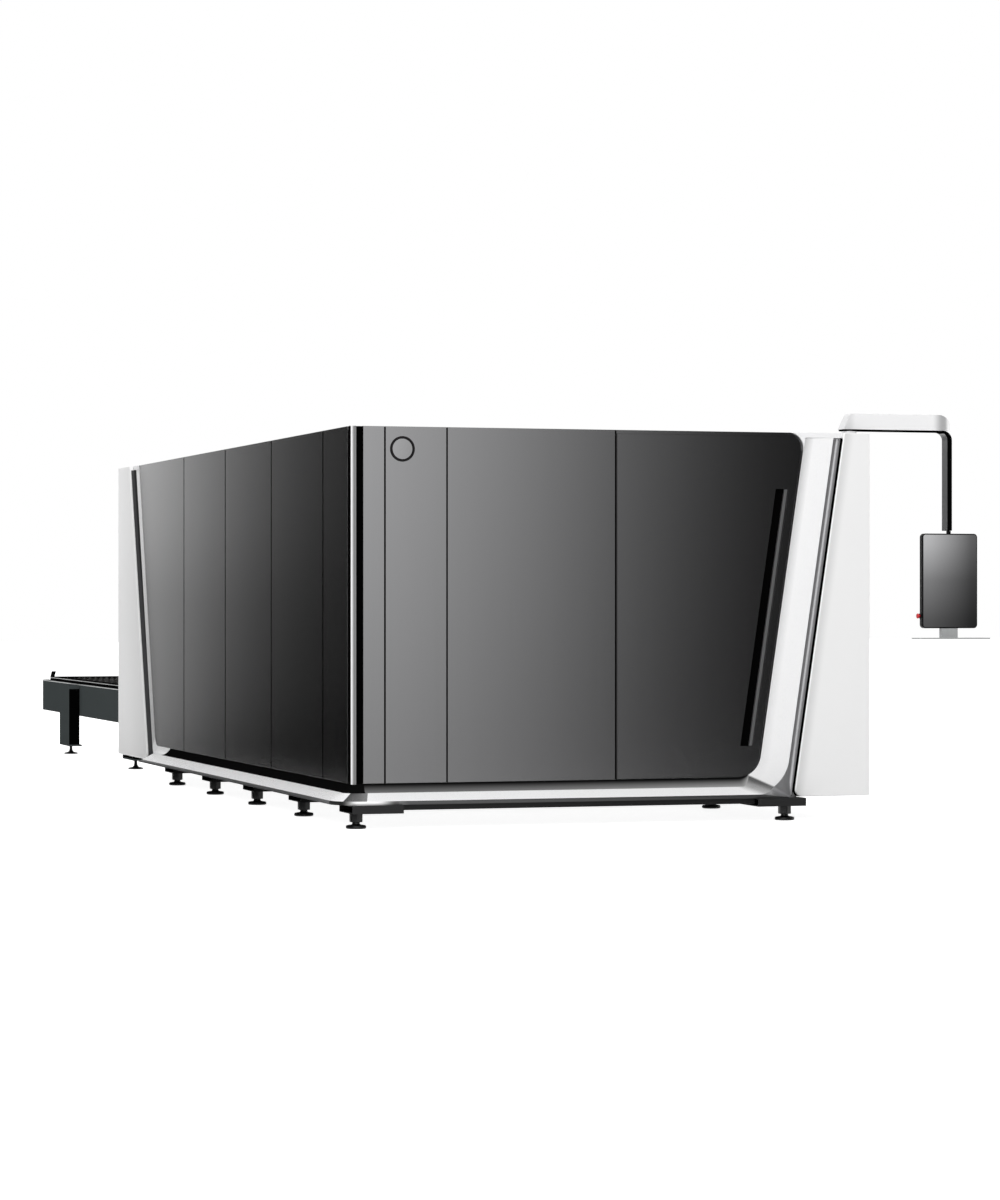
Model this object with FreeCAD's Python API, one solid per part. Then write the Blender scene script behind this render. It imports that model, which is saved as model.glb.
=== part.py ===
"""Fiber laser cutting machine with a full enclosure and a two-pallet exchange table.

Millimetres, +Z up. The model is laid out from the vertical corner where the front face meets the
left side: X runs along the front face to the right, Y from the front face back to the exchange
table. At the end everything is shifted so that the origin is under the middle of the machine.
"""

import FreeCAD
import Part

import math
import os

from FreeCAD import Vector

# ---------------------------------------------------------------- driving dimensions

# enclosure
enclosure_top = 2200.0
panel_bottom = 240.0
shell_lift = 1.0  # from the foot brackets up to the white outer panels
shell_proud = 32.0  # the white outer panels stand this far out of the dark ones
panel_depth = 30.0
front_plate = 6.0
sheet = 2.0
panel_lip = 20.0
seam = 8.0
reveal = 4.0  # gap between neighbouring trims

# front face
corner_radius = 34.0
corner_post_width = 40.0
front_seams = (197.0, 551.0, 1542.0)
front_shell_top = 156.0  # width of the white outer panel, at the top and at panel_bottom
front_shell_bottom = 447.0
front_edge_top_radius = 70.0
front_edge_bottom_radius = 140.0
front_band_width = 172.0
front_groove_width = 50.0
band_proud = 8.0
band_root = 200.0  # the band's sheet starts this far before the dark face's lower corner
groove_recess = 4.0
groove_radius = 22.0
cap_height = 28.0
outer_panel_round = 40.0

# left side
left_seams = (600.0, 1835.0, 3070.0, 4305.0)
left_shell_top = 413.0
left_shell_bottom = 986.0
left_edge_bottom_radius = 90.0
left_band_width = 105.0
left_groove_width = 60.0
left_start = 62.0
left_jamb_gap = 12.0

# sill, the ledge under the dark panels
sill_reach = 100.0
sill_nose_bottom = 131.0
sill_nose_height = 21.0
sill_nose_round = 8.0
sill_ramp_top = 194.0
sill_ramp_reach = 30.0
sill_back = 46.0
sill_back_top = 200.0
sill_corner_radius = 60.0
sill_end_round = 80.0
sill_left_gap = 20.0
base_rail_bottom = 100.0
base_rail_reach = 70.0
panel_rail_gap = 60.0  # the rails under the dark panels end this far before the slanted edges
tube_wall = 4.0

# enclosure frame
post = 60.0
roof_depth = 20.0
corner_post_inset = 12.0
mullion_width = 30.0
cabin_base_top = 231.0
right_post_places = (1157.0, 2323.0, 3490.0, 4657.0)
portal_post_inset = 360.0
roof_seams = (1980.0, 3900.0)
roof_end_length = 500.0
rear_opening_gap = 12.0
rear_opening_rise = 190.0

# sliding front door
door_back_gap = 4.0
door_thickness = 30.0
door_overlap = 42.0
door_tuck = 12.0
door_travel = 920.0
door_clearance = 6.0
door_jamb_gap = 8.0
seal_width = 6.0
seal_lip = 1.0
handle_bottom = 422.0
handle_from_top = 321.0
handle_from_edge = 55.0
handle_width = 75.0
handle_depth = 20.0
handle_bar_width = 17.0
handle_bar_offset = 4.0
door_rail_width = 20.0
door_rail_height = 15.0
door_rail_end_gap = 70.0
door_rail_spare = 90.0
door_block_length = 100.0
door_block_width = 44.0
door_block_top_gap = 3.0
door_block_floor = 22.0
door_arm_thickness = 10.0
door_foot_height = 98.0
door_block_from_seam = 138.0
door_block_from_edge = 318.0
slide_clearance = 0.5

# round badge on the front face
badge_place = 296.0
badge_from_top = 123.0
badge_radius = 70.0
badge_ring_width = 13.0
badge_thickness = 6.0
badge_disc_recess = 2.0

# feet
foot_pitch = 1166.5
foot_first = -10.0
foot_rows = 5
left_foot_place = 30.0
right_foot_reach = 75.0
foot_disc_radius = 56.0
foot_disc_height = 22.0
foot_disc_edge = 5.5
foot_neck_radius = 21.0
foot_neck_top = 35.0
foot_nut_flats = 66.0
bracket_bottom = 85.0
bracket_length = 290.0
bracket_depth = 284.0
bracket_before_foot = 114.0
bracket_wall = 6.0
left_bracket_reach = 130.0
right_bracket_reach = 161.0

# bed
bed_left_outer = 110.0
bed_beam_inner = 1040.0  # half the distance between the bed's side beams
bed_beam_width = 140.0
bed_beam_rise = 190.0  # beam tops above the upper rails
bed_start = 110.0
bed_length = 6157.0
bed_wall = 10.0
cross_member_width = 80.0
cross_member_bottom = 140.0
cross_member_top = 240.0
cross_member_first = 200.0
cross_member_pitch = 1060.0
cross_member_count = 6
rear_base_depth = 90.0

# exchange table and the runways that carry the pallets
runway_width = 50.0
runway_drop = 53.0  # underside of the runways below the lower rails
runway_rise = 40.0  # their top above the upper rails
runway_start = 1000.0
table_length = 4913.0
table_end_plate = 40.0
table_cross_height = 40.0
table_cross_places = (6320.0, 7270.0, 8220.0, 9170.0, 10120.0)
rail_width = 45.0
rail_thickness = 10.0
rail_joint_gap = 5.0
upper_rail_top = 530.0
level_drop = 165.0
leg_width = 86.0
leg_before_foot = 150.0
leg_behind_foot = 280.0
leg_places = (6960.0, 9630.0)
leg_bottom = 79.0
leg_wall = 6.0
leg_plate = 12.0
leg_plate_over = 20.0
leg_top_gap = 10.0
table_foot_radius = 55.0
table_foot_plinth = 10.0
table_foot_cone_top = 40.0
table_foot_stem_radius = 12.0

# pallets
pallet_length = 4300.0
pallet_end_gap = 10.0
pallet_side_gap = 6.0
pallet_side_width = 60.0
pallet_side_height = 28.0
pallet_wheel_gap = 2.0
pallet_travel = 5600.0
stringer_width = 40.0
stringer_height = 14.0
stringer_count = 3
slat_thickness = 3.0
slat_pitch = 126.0
slat_first = 110.0
slat_tip_height = 41.0  # slat tips above the underside of the pallet
slat_notch_depth = 22.0
slat_teeth = 40
slat_last = 780.0  # the far end of the pallet has no slats
slat_end_gap = 2.0
hook_height = 45.0
hook_width = 34.0
hook_length = 16.0
hook_lean = 12.0
wheel_radius = 18.0
wheel_width = 30.0
wheel_lift = 0.3
wheel_side_gap = 12.0
axle_radius = 10.0
axle_clearance = 0.3
wheel_from_end = 500.0
lug_thickness = 12.0
lug_half_width = 20.0
lug_drop = 14.0
lug_gap = 6.0

# gantry and cutting head
guide_width = 30.0
guide_height = 25.0
guide_start = 200.0
guide_spare = 500.0
guide_from_beam_edge = 55.0
rack_width = 20.0
rack_gap = 10.0
gantry_place = 900.0
gantry_travel = 4100.0
gantry_depth = 220.0
gantry_height = 200.0
gantry_wall = 8.0
saddle_length = 300.0
saddle_height = 55.0
saddle_rise = 30.0
guide_block_length = 90.0
guide_block_width = 66.0
guide_block_lift = 5.0
cross_rail_depth = 20.0
cross_rail_height = 22.0
cross_rail_inset = 30.0
cross_rail_spare = 170.0
carriage_place = 420.0
carriage_width = 240.0
carriage_travel = 1740.0
carriage_plate = 20.0
carriage_block_depth = 30.0
carriage_block_height = 46.0
carriage_block_length = 70.0
carriage_block_inset = 10.0
head_plate_width = 120.0
head_plate_depth = 24.0
head_plate_rise = 70.0  # heights of the head are measured from the gantry's underside
head_plate_height = 300.0
head_clearance = 0.5
head_body_radius = 45.0
head_body_rise = 60.0
head_body_height = 240.0
head_flat_width = 60.0
head_flat_end_gap = 20.0
head_cone_height = 45.0
nozzle_height = 25.0
nozzle_radius = 13.0
nozzle_tip_radius = 4.0
nozzle_bore_radius = 1.5
nozzle_bore_depth = 15.0

# laser source and control cabinet behind the right-hand wall
cabinet_floor_thickness = 6.0
cabinet_floor_start = 300.0
cabinet_floor_end = 5600.0
cabinet_floor_gap = 10.0
cabinet_inset = 90.0
cabinet_depth = 390.0
cabinet_wall_gap = 20.0
control_cabinet_start = 2400.0
control_cabinet_length = 1200.0
control_cabinet_height = 1700.0
laser_source_start = 4000.0
laser_source_length = 900.0
laser_source_height = 900.0

# operator's arm and monitor
arm_axis_from_wall = 75.0
arm_middle = 100.0
arm_pedestal_radius = 45.0
arm_pedestal_height = 16.0
arm_hub_radius = 31.5
arm_lift = 18.0
arm_core_height = 9.0
arm_cover_height = 91.0
arm_start_from_wall = 124.0
arm_reach = 690.0
arm_depth = 80.0
arm_cover_over = 4.0
arm_taper = 42.0
arm_round = 60.0
arm_taper_round = 20.0
arm_tip_height = 2.0
drop_width = 28.0
drop_depth = 62.0
monitor_width = 348.0
monitor_height = 548.0
monitor_bottom = 1085.0
monitor_depth = 34.0
monitor_round = 22.0
neck_radius = 13.0
neck_height = 17.0
swivel_gap = 0.3
screen_thickness = 3.0
screen_inset = 6.0
tray_width = 452.0
tray_stem_height = 55.0
tray_thickness = 8.0
tray_front = 0.0
tray_back = 130.0
tray_round = 20.0
tray_stem_width = 103.0
tray_stem_depth = 30.0
estop_rise = 71.0
estop_cap_radius = 15.0
estop_cap_thickness = 11.0
estop_stem_radius = 8.0
estop_stem_length = 15.7
estop_collar_length = 8.0
estop_clearance = 0.3
estop_lift = 8.0
estop_bore_depth = 12.0

# ---------------------------------------------------------------- worked-out places

shell_bottom = sill_nose_bottom + shell_lift
sill_nose_top = sill_nose_bottom + sill_nose_height
frame_top = enclosure_top - roof_depth
bed_left_inner = bed_left_outer + bed_beam_width
bed_centre = bed_left_inner + bed_beam_inner
bed_right_outer = bed_centre + bed_beam_inner + bed_beam_width
bed_end = bed_start + bed_length
rear_inside = bed_end + rear_base_depth
enclosure_length = rear_inside + panel_depth
cabinet_end = bed_right_outer + cabinet_inset + cabinet_depth
wall_inside = cabinet_end + cabinet_wall_gap + post
enclosure_width = wall_inside + panel_depth
front_shell_place = enclosure_width - front_band_width - front_groove_width - reveal
front_edge_top = front_shell_place - front_shell_top
front_edge_bottom = front_shell_place - front_shell_bottom
front_slope = (front_edge_top - front_edge_bottom) / (enclosure_top - panel_bottom)
left_shell_place = enclosure_length - left_band_width - left_groove_width - reveal
left_edge_top = left_shell_place - left_shell_top
left_edge_bottom = left_shell_place - left_shell_bottom
left_slope = (left_edge_top - left_edge_bottom) / (enclosure_top - panel_bottom)
portal_post_place = enclosure_width - portal_post_inset
door_front = front_plate + door_back_gap
door_back = door_front + door_thickness
frame_face = door_back + door_clearance
door_block_places = (front_seams[2] + door_block_from_seam, front_edge_top - door_block_from_edge)
handle_top = enclosure_top - handle_from_top
badge_height = enclosure_top - badge_from_top
corner_side = corner_radius + corner_post_width
shell_back = panel_depth - shell_proud
left_bracket_start = bed_left_outer - left_bracket_reach
right_bracket_start = bed_right_outer + right_bracket_reach - bracket_length
right_foot_place = bed_right_outer + right_foot_reach
lower_rail_top = upper_rail_top - level_drop
lower_shift = -pallet_travel
runway_inner = bed_left_inner + runway_width
runway_bottom = lower_rail_top - runway_drop
runway_top = upper_rail_top + runway_rise
runway_end = rear_inside - post
leg_top = runway_top - leg_top_gap
bed_beam_top = upper_rail_top + bed_beam_rise
table_start = runway_end
table_end = table_start + table_length
pallet_end = table_end - table_end_plate - pallet_end_gap
pallet_start = pallet_end - pallet_length
pallet_left = runway_inner + pallet_side_gap
wheel_side = runway_inner + wheel_side_gap
guide_end = gantry_place + saddle_length / 2 + gantry_travel + guide_spare
gantry_bottom = bed_beam_top + guide_height + saddle_rise + saddle_height
head_plate_bottom = gantry_bottom + head_plate_rise
head_body_bottom = gantry_bottom + head_body_rise
head_body_top = head_body_bottom + head_body_height
head_cone_bottom = head_body_bottom - head_cone_height
nozzle_tip = head_cone_bottom - nozzle_height
arm_axis = enclosure_width - arm_axis_from_wall
arm_start = enclosure_width - arm_start_from_wall
arm_end = arm_start + arm_reach
arm_bottom = enclosure_top + arm_lift
drop_bottom = monitor_bottom + monitor_height + neck_height
tray_centre = arm_end - drop_width / 2
tray_top = monitor_bottom - tray_stem_height
estop_height = monitor_bottom + estop_rise
foot_places = [foot_first + foot_pitch * row for row in range(foot_rows)]


def front_edge(z):
    """The slanted right edge of the dark front face at height z."""
    return front_edge_top + front_slope * (z - enclosure_top)


def left_edge(z):
    """The slanted far edge of the dark left side at height z."""
    return left_edge_top + left_slope * (z - enclosure_top)


# ---------------------------------------------------------------- helpers

def box(x0, x1, y0, y1, z0, z1):
    return Part.makeBox(x1 - x0, y1 - y0, z1 - z0, Vector(x0, y0, z0))


def tube(x0, x1, y0, y1, z0, z1, wall, along):
    """A rectangular hollow section, open at both ends of the axis named by along."""
    inset = {axis: 0 if axis == along else wall for axis in "xyz"}
    hollow = box(x0 + inset["x"], x1 - inset["x"], y0 + inset["y"], y1 - inset["y"],
                 z0 + inset["z"], z1 - inset["z"])
    return box(x0, x1, y0, y1, z0, z1).cut(hollow)


def cylinder(radius, start, direction, length):
    return Part.makeCylinder(radius, length, Vector(*start), Vector(*direction))


def mirrored(shape):
    """The same piece on the other side of the bed."""
    return shape.mirror(Vector(bed_centre, 0, 0), Vector(1, 0, 0))


def both_sides(shape):
    return [shape, mirrored(shape)]


def in_front(u, v):
    """A point of an outline that is drawn on the front face."""
    return Vector(u, 0, v)


def in_side(u, v):
    """A point of an outline that is drawn on the left side."""
    return Vector(0, u, v)


def in_plan(u, v):
    return Vector(u, v, 0)


def outline(corners, place):
    """A face whose corners are (u, v) or (u, v, radius); a radius rounds its corner."""
    flat = [Vector(corner[0], corner[1], 0) for corner in corners]
    ends = []
    for number, corner in enumerate(corners):
        point = flat[number]
        radius = corner[2] if len(corner) > 2 else 0
        if not radius:
            ends.append((point, None, point))
            continue
        before = (flat[number - 1] - point).normalize()
        after = (flat[(number + 1) % len(flat)] - point).normalize()
        half = before.getAngle(after) / 2
        reach = radius / math.tan(half)
        middle = (before + after).normalize()
        middle = point + middle * (radius / math.sin(half) - radius)
        ends.append((point + before * reach, middle, point + after * reach))
    edges = []
    for number, (start, middle, end) in enumerate(ends):
        if middle is not None:
            edges.append(Part.Arc(place(start.x, start.y), place(middle.x, middle.y),
                                  place(end.x, end.y)).toShape())
        following = ends[(number + 1) % len(ends)][0]
        if following.distanceToPoint(end) > 0.001:
            edges.append(Part.makeLine(place(end.x, end.y), place(following.x, following.y)))
    return Part.Face(Part.Wire(edges))


def front_prism(corners, y0, y1):
    solid = outline(corners, in_front).extrude(Vector(0, y1 - y0, 0))
    solid.translate(Vector(0, y0, 0))
    return solid


def side_prism(corners, x0, x1):
    solid = outline(corners, in_side).extrude(Vector(x1 - x0, 0, 0))
    solid.translate(Vector(x0, 0, 0))
    return solid


def plan_prism(corners, z0, z1):
    solid = outline(corners, in_plan).extrude(Vector(0, 0, z1 - z0))
    solid.translate(Vector(0, 0, z0))
    return solid


def slanted(edge, near, far, z0, z1):
    """Corners of a strip that runs parallel to a slanted edge, from near to far beyond it."""
    return [(edge(z0) + near, z0), (edge(z0) + far, z0), (edge(z1) + far, z1), (edge(z1) + near, z1)]


def folded_panel(corners, place, skin, depth, into):
    """A sheet panel: a skin, its edges folded back by depth, and a lip folded in at the back."""
    face = outline(corners, place)
    body = face.extrude(into * depth)
    hollow = face.makeOffset2D(-skin).extrude(into * (depth - 2 * skin))
    hollow.translate(into * skin)
    mouth = face.makeOffset2D(-panel_lip).extrude(into * (2 * skin))
    mouth.translate(into * (depth - 2 * skin))
    return body.cut(hollow.fuse(mouth))


def placed(shape, x=0, y=0, z=0):
    copy = shape.copy()
    copy.translate(Vector(x, y, z))
    return copy


# ---------------------------------------------------------------- feet and bed

def levelling_feet():
    """Disc, neck and hexagonal lock nut of each levelling foot."""
    disc = cylinder(foot_disc_radius, (0, 0, 0), (0, 0, 1), foot_disc_height)
    disc = disc.makeChamfer(foot_disc_edge, [disc.Edges[0]])
    neck = cylinder(foot_neck_radius, (0, 0, 0), (0, 0, 1), foot_neck_top + foot_disc_edge)
    corner = foot_nut_flats / math.sqrt(3)
    hexagon = [(corner * math.cos(math.radians(60 * turn)), corner * math.sin(math.radians(60 * turn)))
               for turn in range(6)]
    nut = plan_prism(hexagon, foot_neck_top, bracket_bottom)
    foot = disc.fuse([neck, nut]).removeSplitter()
    return [placed(foot, x, y) for x in (left_foot_place, right_foot_place) for y in foot_places]


def foot_brackets():
    """Flat hollow carriers that stand on the feet and carry the bed."""
    brackets = []
    for x0 in (left_bracket_start, right_bracket_start):
        for y in foot_places:
            y0 = y - bracket_before_foot
            brackets.append(tube(x0, x0 + bracket_length, y0, y0 + bracket_depth,
                                 bracket_bottom, sill_nose_bottom, bracket_wall, "x"))
    return brackets


def bed_frame():
    """Two long box beams, the cross members between them and the pallet runways inside."""
    beam = tube(bed_left_outer, bed_left_inner, bed_start, bed_end,
                sill_nose_bottom, bed_beam_top, bed_wall, "y")
    runway = tube(bed_left_inner, runway_inner, runway_start, runway_end,
                  runway_bottom, runway_top, tube_wall, "y")
    members = []
    for number in range(cross_member_count):
        y = cross_member_first + number * cross_member_pitch
        members.append(tube(bed_left_inner, 2 * bed_centre - bed_left_inner, y, y + cross_member_width,
                            cross_member_bottom, cross_member_top, tube_wall, "x"))
    return both_sides(beam) + both_sides(runway) + members


def pallet_rails():
    """Flat rails on two levels, on the bed's runways and on the table's beams."""
    rails = []
    runs = ((runway_start, table_start - rail_joint_gap), (table_start, table_end - table_end_plate))
    for top in (upper_rail_top, lower_rail_top):
        for y0, y1 in runs:
            rail = box(runway_inner, runway_inner + rail_width, y0, y1, top - rail_thickness, top)
            rails += both_sides(rail)
    return rails


def table_frame():
    """Side beams, cross members, end plate and legs of the exchange table."""
    beam = tube(bed_left_inner, runway_inner, table_start, table_end,
                runway_bottom, runway_top, tube_wall, "y")
    inside = 2 * bed_centre - runway_inner
    members = [tube(runway_inner, inside, y, y + cross_member_width, runway_bottom,
                    runway_bottom + table_cross_height, tube_wall, "x") for y in table_cross_places]
    end = box(runway_inner, inside, table_end - table_end_plate, table_end, runway_bottom, leg_top)
    legs = []
    for y in leg_places:
        near, far = y - leg_before_foot, y + leg_behind_foot
        leg = tube(bed_left_inner - leg_width, bed_left_inner, near, far,
                   leg_bottom, leg_top, leg_wall, "z")
        plate = box(bed_left_inner - leg_width, bed_left_inner + leg_plate_over, near, far,
                    leg_bottom - leg_plate, leg_bottom)
        legs += both_sides(leg.fuse(plate))
    return both_sides(beam) + members + [end] + legs


def table_feet():
    """Conical feet on thin stems under the table's legs."""
    disc = cylinder(table_foot_radius, (0, 0, 0), (0, 0, 1), table_foot_plinth)
    cone = Part.makeCone(table_foot_radius, table_foot_stem_radius,
                         table_foot_cone_top - table_foot_plinth, Vector(0, 0, table_foot_plinth))
    stem = cylinder(table_foot_stem_radius, (0, 0, table_foot_cone_top), (0, 0, 1),
                    leg_bottom - leg_plate - table_foot_cone_top)
    foot = disc.fuse([cone, stem])
    feet = []
    for y in leg_places:
        feet += both_sides(placed(foot, bed_left_inner - leg_width / 2, y))
    return feet


# ---------------------------------------------------------------- sill and lower rails

def sill_section():
    """Section of the sill as (distance out of the dark panels, height) corners."""
    return [(-sill_back, sill_nose_bottom),
            (sill_reach, sill_nose_bottom, sill_nose_round),
            (sill_reach, sill_nose_top, sill_nose_round),
            (sill_ramp_reach, sill_ramp_top),
            (0, sill_back_top),
            (-sill_back, sill_back_top)]


sill_front_end = front_edge(sill_back_top) + front_band_width
sill_left_end = left_edge(sill_back_top) - sill_left_gap


def sill_front():
    section = outline(sill_section(), lambda out, z: Vector(0, -out, z))
    bar = section.extrude(Vector(sill_front_end - sill_corner_radius, 0, 0))
    bar.translate(Vector(sill_corner_radius, 0, 0))
    plan = [(sill_corner_radius, sill_back), (sill_corner_radius, -sill_reach),
            (sill_front_end, -sill_reach, sill_end_round), (sill_front_end, sill_back)]
    return bar.common(plan_prism(plan, 0, panel_bottom))


def sill_left():
    section = outline(sill_section(), lambda out, z: Vector(-out, 0, z))
    bar = section.extrude(Vector(0, sill_left_end - sill_corner_radius, 0))
    bar.translate(Vector(0, sill_corner_radius, 0))
    plan = [(sill_back, sill_corner_radius), (-sill_reach, sill_corner_radius),
            (-sill_reach, sill_left_end, sill_end_round), (sill_back, sill_left_end)]
    return bar.common(plan_prism(plan, 0, panel_bottom))


def sill_corner():
    centre = Vector(sill_corner_radius, sill_corner_radius, 0)
    section = outline(sill_section(), lambda out, z: Vector(sill_corner_radius, -out, z))
    return section.revolve(centre, Vector(0, 0, 1), -90)


def front_base_rail():
    """Black tube under the sill, between the two front foot brackets."""
    return tube(left_bracket_start + bracket_length, right_bracket_start, -base_rail_reach,
                sill_corner_radius, base_rail_bottom, sill_nose_bottom, tube_wall, "x")


def panel_rails():
    """Rails that the dark panels stand on, along the front and the left side."""
    front = tube(corner_side, front_edge(panel_bottom) - panel_rail_gap, 0, sill_back,
                 sill_back_top, panel_bottom, tube_wall, "x")
    side = tube(0, sill_back, left_start, left_edge(panel_bottom) - panel_rail_gap,
                sill_back_top, panel_bottom, tube_wall, "y")
    return [front, side]


# ---------------------------------------------------------------- enclosure frame and walls

def enclosure_frame():
    """Posts, headers and outriggers that carry the panels, the roof and the right-hand wall."""
    left_posts = [tube(panel_depth, panel_depth + post, y - post / 2, y + post / 2,
                       panel_bottom, frame_top - post, tube_wall, "z") for y in left_seams]
    left_header = tube(panel_depth, panel_depth + post, left_start, bed_end,
                       frame_top - post, frame_top, tube_wall, "y")
    front_header = tube(panel_depth + post, wall_inside - post, frame_face, frame_face + post,
                        frame_top - post, frame_top, tube_wall, "x")
    rear_header = tube(panel_depth + post, wall_inside - post, rear_inside - post, rear_inside,
                       frame_top - post, frame_top, tube_wall, "x")
    right_header = tube(wall_inside - post, wall_inside, shell_back, rear_inside,
                        frame_top - post, frame_top, tube_wall, "y")
    rear_base = tube(panel_depth, wall_inside, bed_end, rear_inside,
                     sill_nose_bottom, cabin_base_top, tube_wall, "x")
    portal_post = tube(portal_post_place, portal_post_place + post, frame_face, frame_face + post,
                       cabin_base_top, frame_top - post, tube_wall, "z")
    rear_left_post = tube(shell_back, shell_back + post, rear_inside - post, rear_inside,
                          cabin_base_top, frame_top, tube_wall, "z")
    rear_right_post = tube(wall_inside - post, wall_inside, rear_inside - post, rear_inside,
                           cabin_base_top, frame_top - post, tube_wall, "z")
    front_right_post = tube(wall_inside - post, wall_inside, shell_back, shell_back + post,
                            cabin_base_top, frame_top - post, tube_wall, "z")
    front_outrigger = tube(bed_right_outer, wall_inside, frame_face, frame_face + post,
                           sill_nose_bottom, cabin_base_top, tube_wall, "x")
    front_link = box(bed_right_outer - bed_beam_width, bed_right_outer, frame_face,
                     bed_start, sill_nose_bottom, cabin_base_top)
    outriggers = [tube(bed_right_outer, wall_inside, y - post / 2, y + post / 2,
                       sill_nose_bottom, cabin_base_top, tube_wall, "x") for y in right_post_places]
    right_posts = [tube(wall_inside - post, wall_inside, y - post / 2, y + post / 2,
                        cabin_base_top, frame_top - post, tube_wall, "z") for y in right_post_places]
    return (left_posts + outriggers + right_posts
            + [left_header, front_header, rear_header, right_header, rear_base, portal_post,
               rear_left_post, rear_right_post, front_right_post, front_outrigger, front_link])


def corner_strip():
    """Rounded aluminium strip on the vertical corner."""
    corner = [(0, 0, corner_radius), (corner_radius, 0), (corner_radius, corner_radius),
              (0, corner_radius)]
    return plan_prism(corner, panel_bottom, enclosure_top)


def corner_post():
    """Black recessed post behind the corner strip."""
    block = box(corner_post_inset, corner_side, corner_post_inset, left_start - reveal / 2,
                sill_back_top, frame_top)
    return block.cut(box(0, corner_radius, 0, corner_radius, 0, enclosure_top))


def front_outline(grow=0):
    """The dark front face, with its slanted and rounded right edge, grown by grow."""
    return [(corner_side, panel_bottom - grow), (front_edge(panel_bottom - grow) + grow,
            panel_bottom - grow, front_edge_bottom_radius),
            (front_edge(enclosure_top + grow) + grow, enclosure_top + grow, front_edge_top_radius),
            (corner_side, enclosure_top + grow)]


def front_panel(number):
    """Fixed plates of the front face, from the corner to the door."""
    starts = [corner_side] + [place + seam / 2 for place in front_seams]
    ends = [place - seam / 2 for place in front_seams]
    return box(starts[number], ends[number], 0, front_plate, panel_bottom, enclosure_top)


def front_top_rail():
    """Rail over the door, and the mullions that stiffen the fixed plates."""
    strip = front_prism(front_outline(), front_plate, frame_face)
    rail = strip.common(box(corner_side, front_edge_top, 0, frame_face, frame_top, enclosure_top))
    half = mullion_width / 2
    mullions = [box(place - half, place + half, front_plate, frame_face, panel_bottom, frame_top)
                for place in front_seams[:2]]
    return [rail] + mullions


def door_seal():
    """Rubber strip on the edge of the fixed plate, in front of the door's hidden edge."""
    start = front_seams[2] - seam / 2
    return box(start, start + seal_width, 0, front_plate + seal_lip, panel_bottom, frame_top)


def left_panels():
    """Five folded panels; the last one ends at the slanted edge."""
    starts = [left_start] + [place + seam / 2 for place in left_seams]
    ends = [place - seam / 2 for place in left_seams]
    inward = Vector(1, 0, 0)
    panels = []
    for start, end in zip(starts, ends):
        corners = [(start, panel_bottom), (end, panel_bottom), (end, enclosure_top),
                   (start, enclosure_top)]
        panels.append(folded_panel(corners, in_side, sheet, panel_depth, inward))
    corners = [(starts[-1], panel_bottom), (left_edge(panel_bottom), panel_bottom,
               left_edge_bottom_radius), (left_edge(enclosure_top), enclosure_top),
               (starts[-1], enclosure_top)]
    panels.append(folded_panel(corners, in_side, sheet, panel_depth, inward))
    return panels


def front_band():
    """White band along the slanted edge of the front face, and the white cap over it."""
    groove_end = front_band_width + front_groove_width
    low = enclosure_top - cap_height
    start = front_edge(panel_bottom) - band_root
    outer = [(start, sill_back_top), (front_edge(sill_back_top) + front_band_width, sill_back_top),
             (front_edge(low) + front_band_width, low), (front_edge(low) + groove_end, low),
             (front_edge(enclosure_top) + groove_end, enclosure_top), (start, enclosure_top)]
    band = front_prism(outer, -band_proud, front_plate)
    dark = front_prism(front_outline(reveal / 2), -band_proud, front_plate)
    hidden = box(start, front_edge(panel_bottom) - panel_rail_gap, 0, front_plate,
                 sill_back_top, panel_bottom)
    rear_cap = box(portal_post_place, wall_inside, front_plate, frame_face, frame_top, enclosure_top)
    bands = band.cut(dark.fuse(hidden)).Solids
    bands.sort(key=lambda solid: solid.Volume)
    return [bands[-1], rear_cap]


def front_groove():
    """Half-round grey channel between the band and the outer panel."""
    near = front_band_width
    far = near + front_groove_width
    low = enclosure_top - cap_height
    bar = front_prism(slanted(front_edge, near, far, sill_back_top, low), groove_recess, sill_back)
    middle = (near + far) / 2
    foot = Vector(front_edge(0) + middle, -groove_recess, 0)
    top = Vector(front_edge(enclosure_top) + middle, -groove_recess, enclosure_top)
    run = top - foot
    dish = Part.makeCylinder(groove_radius, run.Length, foot, run)
    return bar.cut(dish)


def front_outer_panel():
    """White panel at the right of the front face."""
    near = front_band_width + front_groove_width + reveal
    corners = [(front_edge(shell_bottom) + near, shell_bottom, outer_panel_round),
               (enclosure_width, shell_bottom), (enclosure_width, enclosure_top),
               (front_edge(enclosure_top) + near, enclosure_top)]
    panel = folded_panel(corners, in_front, sheet, panel_depth, Vector(0, 1, 0))
    return placed(panel, y=-shell_proud)


def door_jamb():
    """Slanted carrier behind the band: the door's edge closes against it."""
    near = door_tuck + door_jamb_gap
    corners = slanted(front_edge, near, front_band_width, sill_back_top, frame_top - post)
    return front_prism(corners, front_plate, sill_back)


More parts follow.
